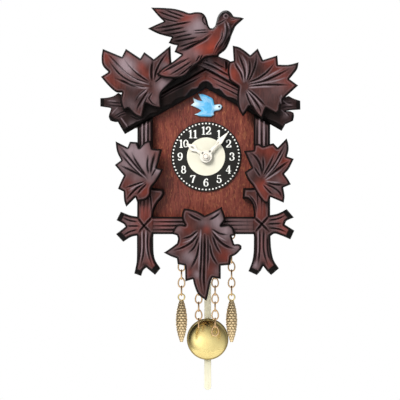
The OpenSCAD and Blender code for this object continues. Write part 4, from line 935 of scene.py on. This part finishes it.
def hand(name, source, back, top, length, widest, half_w, angle, pierced, hub_hole, dots):
    """A broad-bladed hand with a ringed hub, turned to a clock angle."""
    a = math.radians(angle)
    turn = np.array([[math.cos(a), -math.sin(a)], [math.sin(a), math.cos(a)]])
    hub = [(3.9 * math.sin(b), 3.9 * math.cos(b))
           for b in np.linspace(math.radians(341.2), math.radians(18.8), 60)]
    blade = [(0.9, widest - 3), (half_w, widest), (0.28, length - 0.5), (0, length - 0.1),
             (-0.28, length - 0.5), (-half_w, widest), (-0.9, widest - 3)]
    ring = curve(np.array(hub + blade) @ turn, 0.25, 25)
    hole = np.array([(0, pierced - 1.6), (0.6, pierced), (0, pierced + 1.6), (-0.6, pierced)])
    bore = np.array([(hub_hole * math.sin(b), hub_hole * math.cos(b))
                     for b in np.linspace(0, 2 * math.pi, 33)[:-1]])

    def field(xz, edge):
        roll = np.clip(1 - edge / 0.32, 0, 1)
        depth = top - 0.22 * (1 - np.sqrt(1 - roll**2 * 0.999))
        r = np.hypot(*xz.T)
        groove = np.exp(-(((r - 3.05) / 0.16) ** 2))
        dot = np.clip(blobs(xz, [(x, z, 0.56, 2.2) for x, z in dots]), 0, 1)
        depth -= 0.14 * groove + 0.3 * dot
        tint = np.zeros((len(xz), 3))
        # painted shade: black dots where the small pierced holes are, and darker pink in the hub
        # groove and along the edge
        tint[:, 0] = 0.85 * dot
        tint[:, 1] = 0.35 * groove + 0.3 * np.clip(1 - edge / 0.2, 0, 1)
        return depth, tint

    carve(name, [source], ring, back, field, 0.2, holes=[curve(hole @ turn, 0.3), bore])


hand("hour_hand_blade", "hour_hand", 50.1, 50.8, 15.1, 9.6, 2.3, 303.5, 10.2, 2.2, [])
hand("minute_hand_blade", "minute_hand", 51.7, 52.4, 20.7, 12.6, 1.95, 42.5, 10.8, 1.5,
     [(-2.0, 2.1), (2.5, 3.2)])


# ---------------------------------------------------------------- dial figures

def arc(cx, cz, rx, rz, a0, a1, n=10):
    return [(cx + rx * math.cos(math.radians(a)), cz + rz * math.sin(math.radians(a)))
            for a in np.linspace(a0, a1, n)]


FIGURES = {
    0: [("loop", arc(0, 0, 0.25, 0.43, 0, 360, 25))],
    1: [("pen", [(0, -0.46), (0, 0.5)]), ("pen", [(0.03, 0.45), (-0.1, 0.4), (-0.2, 0.32)]),
        ("slab", [(-0.2, -0.46), (0.2, -0.46)])],
    2: [("pen", [(-0.24, 0.2)] + arc(0, 0.2, 0.23, 0.26, 160, -20, 9)
         + [(0.1, -0.1), (-0.12, -0.28), (-0.26, -0.42)]),
        ("slab", [(-0.27, -0.43), (0.25, -0.43)]), ("pen", [(0.25, -0.44), (0.29, -0.24)]),
        ("dot", (-0.2, 0.2))],
    3: [("pen", arc(-0.01, 0.24, 0.21, 0.22, 165, -75, 10)),
        ("pen", arc(-0.02, -0.21, 0.26, 0.25, 85, -165, 11)), ("dot", (-0.19, 0.27)),
        ("dot", (-0.23, -0.24))],
    4: [("pen", [(0.1, -0.46), (0.1, 0.5)]), ("thin", [(0.08, 0.48), (-0.3, -0.18)]),
        ("slab", [(-0.32, -0.19), (0.3, -0.19)]), ("slab", [(-0.06, -0.46), (0.26, -0.46)])],
    5: [("slab", [(-0.19, 0.44), (0.22, 0.44)]), ("thin", [(-0.17, 0.45), (-0.2, 0.02)]),
        ("pen", [(-0.2, 0.04)] + arc(-0.01, -0.18, 0.25, 0.27, 115, -160, 11)),
        ("dot", (-0.21, -0.26))],
    6: [("pen", [(0.2, 0.4), (0.06, 0.46), (-0.12, 0.34), (-0.23, 0.1), (-0.25, -0.15)]),
        ("loop", arc(0, -0.18, 0.23, 0.27, 0, 360, 21)), ("dot", (0.18, 0.36))],
    7: [("slab", [(-0.25, 0.43), (0.27, 0.43)]),
        ("pen", [(0.25, 0.42), (0.05, 0.05), (-0.06, -0.47)]),
        ("pen", [(-0.25, 0.44), (-0.27, 0.25)])],
    8: [("loop", arc(0, 0.23, 0.18, 0.22, 0, 360, 19)),
        ("loop", arc(0, -0.21, 0.23, 0.25, 0, 360, 21))],
    9: [("pen", [(-0.2, -0.4), (-0.06, -0.46), (0.12, -0.34), (0.23, -0.1), (0.25, 0.15)]),
        ("loop", arc(0, 0.18, 0.23, 0.27, 0, 360, 21)), ("dot", (-0.18, -0.36))],
}


def pen_stroke(path, thick, thin):
    """A pen stroke, thick where it runs upright and thin where it runs level."""
    p = np.array(path)
    t = np.gradient(p, axis=0)
    t /= np.linalg.norm(t, axis=1)[:, None]
    w = thin + (thick - thin) * np.abs(t[:, 1]) ** 1.6
    side = np.stack([-t[:, 1], t[:, 0]], -1) * w[:, None] / 2
    return p - side, p + side


class Flat:
    """Thin flat shapes gathered into one mesh."""

    def __init__(self, low, high):
        self.low, self.high, self.verts, self.faces, self.step = low, high, [], [], 0

    def strip(self, a, b):
        """The area between two lines of the same length."""
        self.step = (self.step + 1) % 5
        high = self.high - 0.004 * self.step
        n, k = len(a), len(self.verts)
        for line, d in ((a, high), (b, high), (a, self.low), (b, self.low)):
            self.verts += [tuple(v) for v in place(line[:, 0], np.full(n, d), line[:, 1])]
        for i in range(n - 1):
            self.faces += [(k + i, k + i + 1, k + n + i + 1, k + n + i),
                           (k + i, k + 2 * n + i, k + 2 * n + i + 1, k + i + 1),
                           (k + n + i, k + n + i + 1, k + 3 * n + i + 1, k + 3 * n + i)]
        self.faces += [(k, k + n, k + 3 * n, k + 2 * n),
                       (k + n - 1, k + 3 * n - 1, k + 4 * n - 1, k + 2 * n - 1)]

    def disc(self, x, z, r, n=16):
        a = np.linspace(0, math.pi, n)
        self.strip(np.stack([x - r * np.cos(a), z - r * np.sin(a)], -1),
                   np.stack([x - r * np.cos(a), z + r * np.sin(a)], -1))


NUMBERS_R, DOTS_R, DOT = 16.3, 20.8, 0.5
STROKES = {"pen": (0.185, 0.08), "loop": (0.175, 0.075), "thin": (0.085, 0.07),
           "slab": (0.09, 0.09)}
figures = Flat(49.2, 49.35)
for hour in range(1, 13):
    angle = math.radians(30 * hour)
    cx, cz = NUMBERS_R * math.sin(angle), NUMBERS_R * math.cos(angle)
    digits = [hour] if hour < 10 else [1, hour - 10]
    size = 5.1
    for digit, dx in zip(digits, [0] if hour < 10 else [-0.3, 0.28]):
        for kind, path in FIGURES[digit]:
            if kind == "dot":
                figures.disc(cx + size * (path[0] + dx), cz + size * path[1], 0.085 * size)
                continue
            at = np.array([cx + size * dx, cz])
            a, b = pen_stroke(path, *STROKES[kind])
            figures.strip(at + size * a, at + size * b)
for minute in range(60):
    angle = math.radians(6 * minute)
    figures.disc(DOTS_R * math.sin(angle), DOTS_R * math.cos(angle), DOT, 10)
me = tidy(mesh_of("dial_figures", figures.verts, figures.faces), merged=False)
piece("dial_figures", me, ["dial_numerals"], smooth=False)


# ---------------------------------------------------------------- turned and bent metal

def revolve(profile, steps, centre, axis):
    """Vertices and faces of a profile of (radius, along) turned about the axis y or z. A
    radius may be a row, with one value for each angle."""
    rows = len(profile)
    angles = np.arange(steps) * 2 * math.pi / steps
    verts = np.zeros((rows, steps, 3))
    for i, (r, along) in enumerate(profile):
        r = np.broadcast_to(r, steps)
        if axis == "z":
            turned = [r * np.cos(angles), r * np.sin(angles), np.full(steps, along)]
        else:
            turned = [r * np.cos(angles), np.full(steps, -along), r * np.sin(angles)]
        verts[i] = np.stack(turned, -1)
    faces = [(i * steps + j, i * steps + (j + 1) % steps, (i + 1) * steps + (j + 1) % steps,
              (i + 1) * steps + j) for i in range(rows - 1) for j in range(steps)]
    return (verts.reshape(-1, 3) + np.array(centre)) * 0.001, faces


# bob: a spun dome with a rolled rim
BOB_Z, BOB_R = -115.5 - RISE, 13.2
dome = [(BOB_R - 0.55 + 0.55 * math.cos(a), 18.1 + 0.5 * math.sin(a))
        for a in np.linspace(-math.pi / 2, math.pi / 2, 9)]
dome += [(12.5 * math.cos(a), 18.35 + 4.4 * math.sin(a))
         for a in np.linspace(0.06, math.pi / 2, 40)]
verts, faces = revolve(dome, 128, (0, 0, BOB_Z), "y")
me = tidy(mesh_of("spun_bob", verts, faces))
# painted dark reflection: the rolled rim is tinted dark
rim = [math.hypot(v.co.x * 1000, v.co.z * 1000 - BOB_Z) > 12.45 for v in me.vertices]
set_tint(me, np.outer(rim, [0.7, 0, 0]))
piece("spun_bob", me, ["bob_shell"])

# hub nut: a domed collar with a groove round the arbor's end
nut = [(0.002, 52.42), (2.4, 52.42), (2.4, 53.2), (2.3, 53.45), (2.05, 53.58), (1.75, 53.58),
       (1.6, 53.4), (1.52, 53.1), (1.45, 53.1), (1.42, 53.9), (1.3, 54.1), (1.0, 54.18),
       (0.002, 54.18)]
NUT_STEPS = 48
verts, faces = revolve(nut, NUT_STEPS, (0, 0, -RISE), "y")
tint = np.zeros((len(nut), NUT_STEPS, 3))
# painted shade: the rows in the groove are tinted darker
tint[5:10, :, 1] = np.array([0.4, 0.9, 0.9, 0.9, 0.5])[:, None]
tint[6:9, :, 0] = 0.3
me = mesh_of("hub_nut", verts, faces)
set_tint(me, tint.reshape(-1, 3))
piece("hub_nut", tidy(me), ["hand_nut"])


WIRE_SIDES = 12


def tube(path, r, sides=WIRE_SIDES):
    """A closed wire ring along a path in millimetres."""
    p = np.array(path)
    n = len(p)
    t = np.roll(p, -1, 0) - np.roll(p, 1, 0)
    t /= np.linalg.norm(t, axis=1)[:, None]
    flat = np.cross(t[0], t[n // 4])
    flat /= np.linalg.norm(flat)
    side = np.cross(t, flat)
    a = np.arange(sides) * 2 * math.pi / sides
    verts = (p[:, None] + r * (np.cos(a)[None, :, None] * side[:, None]
                               + np.sin(a)[None, :, None] * flat[None, None, :])).reshape(-1, 3)
    faces = [(i * sides + j, i * sides + (j + 1) % sides, ((i + 1) % n) * sides + (j + 1) % sides,
              ((i + 1) % n) * sides + j) for i in range(n) for j in range(sides)]
    return verts, faces


def link_path(length, width, r, turned, at, pear=0.16, n=40):
    """The centre line of a pear-shaped link."""
    a = np.arange(n) * 2 * math.pi / n
    z = (length / 2 - r) * np.cos(a)
    x = np.sin(a) * (1 - pear * np.cos(a))
    x *= (width / 2 - r) / np.abs(x).max()
    zero = np.zeros(n)
    return np.stack([zero, x, z] if turned else [x, zero, z], -1) + np.array(at)


WIRE, PITCH = 0.45, 5.1
LINK = PITCH + 4 * WIRE + 0.06
for source, x, d in [("chain_outer_left", -15.8, 39), ("chain_inner_left", -5.2, 32),
                     ("chain_inner_right", 5.2, 32), ("chain_outer_right", 15.8, 39)]:
    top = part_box(source)[1].z * 1000
    count = round((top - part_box(source)[0].z * 1000 - LINK) / PITCH) + 1
    verts, faces, inner = [], [], []
    for i in range(count):
        at = np.array([x, -d, top - LINK / 2 - PITCH * i])
        path = link_path(LINK, 5.0, WIRE, i % 2 == 1, at)
        v, f = tube(path, WIRE)
        faces += [tuple(k + len(verts) for k in q) for q in f]
        verts += list(v)
        # painted shade: the inner side of each link's wire is tinted dark
        middle = np.repeat(np.linalg.norm(path - at, axis=1), WIRE_SIDES)
        outward = np.linalg.norm(v - at, axis=1) - middle
        inner += list(np.clip(-outward / WIRE - 0.3, 0, 1))
    me = mesh_of(source + "_links", np.array(verts) * 0.001, faces)
    set_tint(me, np.outer(inner, [1.0, 0, 0]))
    piece(source.replace("chain", "links"), tidy(me), [source])

ROWS, AROUND, CONE_STEPS, CONE_RINGS = 16, 8, 112, 200
for source, x in [("cone_left", -15.8), ("cone_right", 15.8)]:
    low, high = (c.z * 1000 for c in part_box(source))
    top = high - 4.35
    angles = np.arange(CONE_STEPS) * 2 * math.pi / CONE_STEPS
    profile, hollow = [], []
    for s in np.linspace(0, 1, CONE_RINGS):
        body = 3.7 * math.sin(math.radians(14 + 156 * min(s * 1.02, 1.0))) ** 0.75
        u = (angles / (2 * math.pi) * AROUND + 0.5 * (int(s * ROWS) % 2)) % 1.0
        v = s * ROWS % 1.0
        scale = (1 - np.abs(2 * u - 1) ** 2.5) * (0.3 + 0.7 * math.sin(math.pi * min(v + 0.12, 1)))
        fade = min(1, s * 12, (1 - s) * 9 + 0.1)
        profile.append((body * (1 - 0.12 * fade * (1 - scale)) * (1 if s else 0.4),
                        top - (top - low) * s))
        hollow.append(fade * np.clip(0.85 - 1.3 * scale, 0, 1))
    verts, faces = revolve(profile, CONE_STEPS, (x, -39, 0), "z")
    faces += [tuple(range(CONE_STEPS)), tuple(range(len(verts) - CONE_STEPS, len(verts)))]
    ring_v, ring_f = tube(link_path(4.9, 4.9, WIRE, False, (x, -39, top + 1.9), 0.0), WIRE)
    faces += [tuple(k + len(verts) for k in q) for q in ring_f]
    tint = np.zeros((len(verts) + len(ring_v), 3))
    tint[:len(verts), 0] = np.concatenate(hollow)
    tint[:len(verts), 2] = 0.85
    me = mesh_of(source + "_scales", np.vstack([verts, ring_v * 0.001]), faces)
    set_tint(me, tint)
    piece("fir_" + source, tidy(me), [source])


# ---------------------------------------------------------------- stage, light and camera

FLOOR_R, FLOOR_Z = 0.24, -0.30
floor_me = bpy.data.meshes.new("floor")
bm = bmesh.new()
bmesh.ops.create_circle(bm, cap_ends=True, segments=96, radius=FLOOR_R)
bm.to_mesh(floor_me)
bm.free()
floor = bpy.data.objects.new("floor", floor_me)
floor.location = (0, -0.02, FLOOR_Z)
scene.collection.objects.link(floor)
floor_me.materials.append(paint("pale_floor", (0.80, 0.79, 0.77), (0.84, 0.83, 0.81), (0.6, 0.7)))


def area_light(name, at, aim, size, power, colour=(1, 1, 1)):
    data = bpy.data.lights.new(name, "AREA")
    data.shape = "RECTANGLE"
    data.size, data.size_y = size
    data.energy = power
    data.color = colour
    ob = bpy.data.objects.new(name, data)
    ob.location = at
    ob.rotation_euler = (Vector(aim) - Vector(at)).to_track_quat("-Z", "Y").to_euler()
    scene.collection.objects.link(ob)
    return ob


centre = (0, -0.04, -0.06)
key = area_light("key", (-0.42, -0.75, 0.50), centre, (0.40, 0.40), 12.5, (1, 0.98, 0.95))
key.visible_glossy = False
area_light("fill", (0.75, -0.60, 0.10), centre, (0.55, 0.7), 2.4).visible_glossy = False
area_light("top", (0.05, -0.10, 0.80), centre, (0.6, 0.4), 3.0)
area_light("back", (-0.3, 0.80, 0.35), centre, (0.7, 0.6), 5.0)


def lobe(tree, direction, toward, sharp, amount):
    """A soft round patch of the studio, bright or dark."""
    dot = node(tree, "ShaderNodeVectorMath", {0: direction, 1: Vector(toward).normalized()},
               operation="DOT_PRODUCT").outputs["Value"]
    patch = math_node(tree, "POWER", math_node(tree, "MAXIMUM", dot, 0.0), sharp)
    return math_node(tree, "MULTIPLY", patch, amount)


# White to the camera, even light on the surfaces and a gallery of soft patches to reflect.
world = bpy.data.worlds.new("studio")
scene.world = world
world.use_nodes = True
wt = world.node_tree
wt.nodes.clear()
direction = node(wt, "ShaderNodeTexCoord").outputs["Generated"]
height = node(wt, "ShaderNodeSeparateXYZ", {"Vector": direction}).outputs["Z"]
level = span(wt, height, 0.62, 0.36, -1.0, 1.0)
for toward, sharp, amount in [((-0.45, -1, -0.05), 14, 1.5), ((0.15, -1, -0.35), 8, 0.35),
                              ((0.8, -0.5, -0.5), 6, 0.35), ((-0.75, -0.45, 0.75), 5, -0.5),
                              ((0.55, -0.7, 0.65), 10, -0.28), ((-1, -0.15, 0.1), 7, -0.45),
                              ((1, -0.1, 0.1), 7, -0.35), ((0, 1, 0.3), 3, 0.3)]:
    level = math_node(wt, "ADD", level, lobe(wt, direction, toward, sharp, amount))
level = math_node(wt, "MAXIMUM", level, 0.03)
mirrored = node(wt, "ShaderNodeBackground", {"Color": (1, 0.99, 0.97, 1), "Strength": level})
spread = node(wt, "ShaderNodeBackground", {"Color": (1, 1, 1, 1), "Strength": 0.3})
seen = node(wt, "ShaderNodeBackground", {"Color": (1, 1, 1, 1), "Strength": 1.0})
ray = node(wt, "ShaderNodeLightPath")
inner = node(wt, "ShaderNodeMixShader", {0: ray.outputs["Is Glossy Ray"], 1: spread.outputs[0],
                                         2: mirrored.outputs[0]})
both = node(wt, "ShaderNodeMixShader", {0: ray.outputs["Is Camera Ray"], 1: inner.outputs[0],
                                        2: seen.outputs[0]})
node(wt, "ShaderNodeOutputWorld", {"Surface": both.outputs[0]})

# The photograph is taken from a little to the right, level with the case.
AZIMUTH, RANGE, SPAN = math.radians(1.9), 3.5, 0.251
aim = Vector((-0.0036, -0.055, -0.0593))
cam_data = bpy.data.cameras.new("camera")
cam_data.sensor_width = 36
cam_data.lens = 36 * RANGE / SPAN
cam_data.clip_start, cam_data.clip_end = 0.05, 20
cam = bpy.data.objects.new("camera", cam_data)
cam.location = aim + Vector((RANGE * math.sin(AZIMUTH), -RANGE * math.cos(AZIMUTH), 0))
cam.rotation_euler = (aim - cam.location).to_track_quat("-Z", "Y").to_euler()
scene.collection.objects.link(cam)
scene.camera = cam
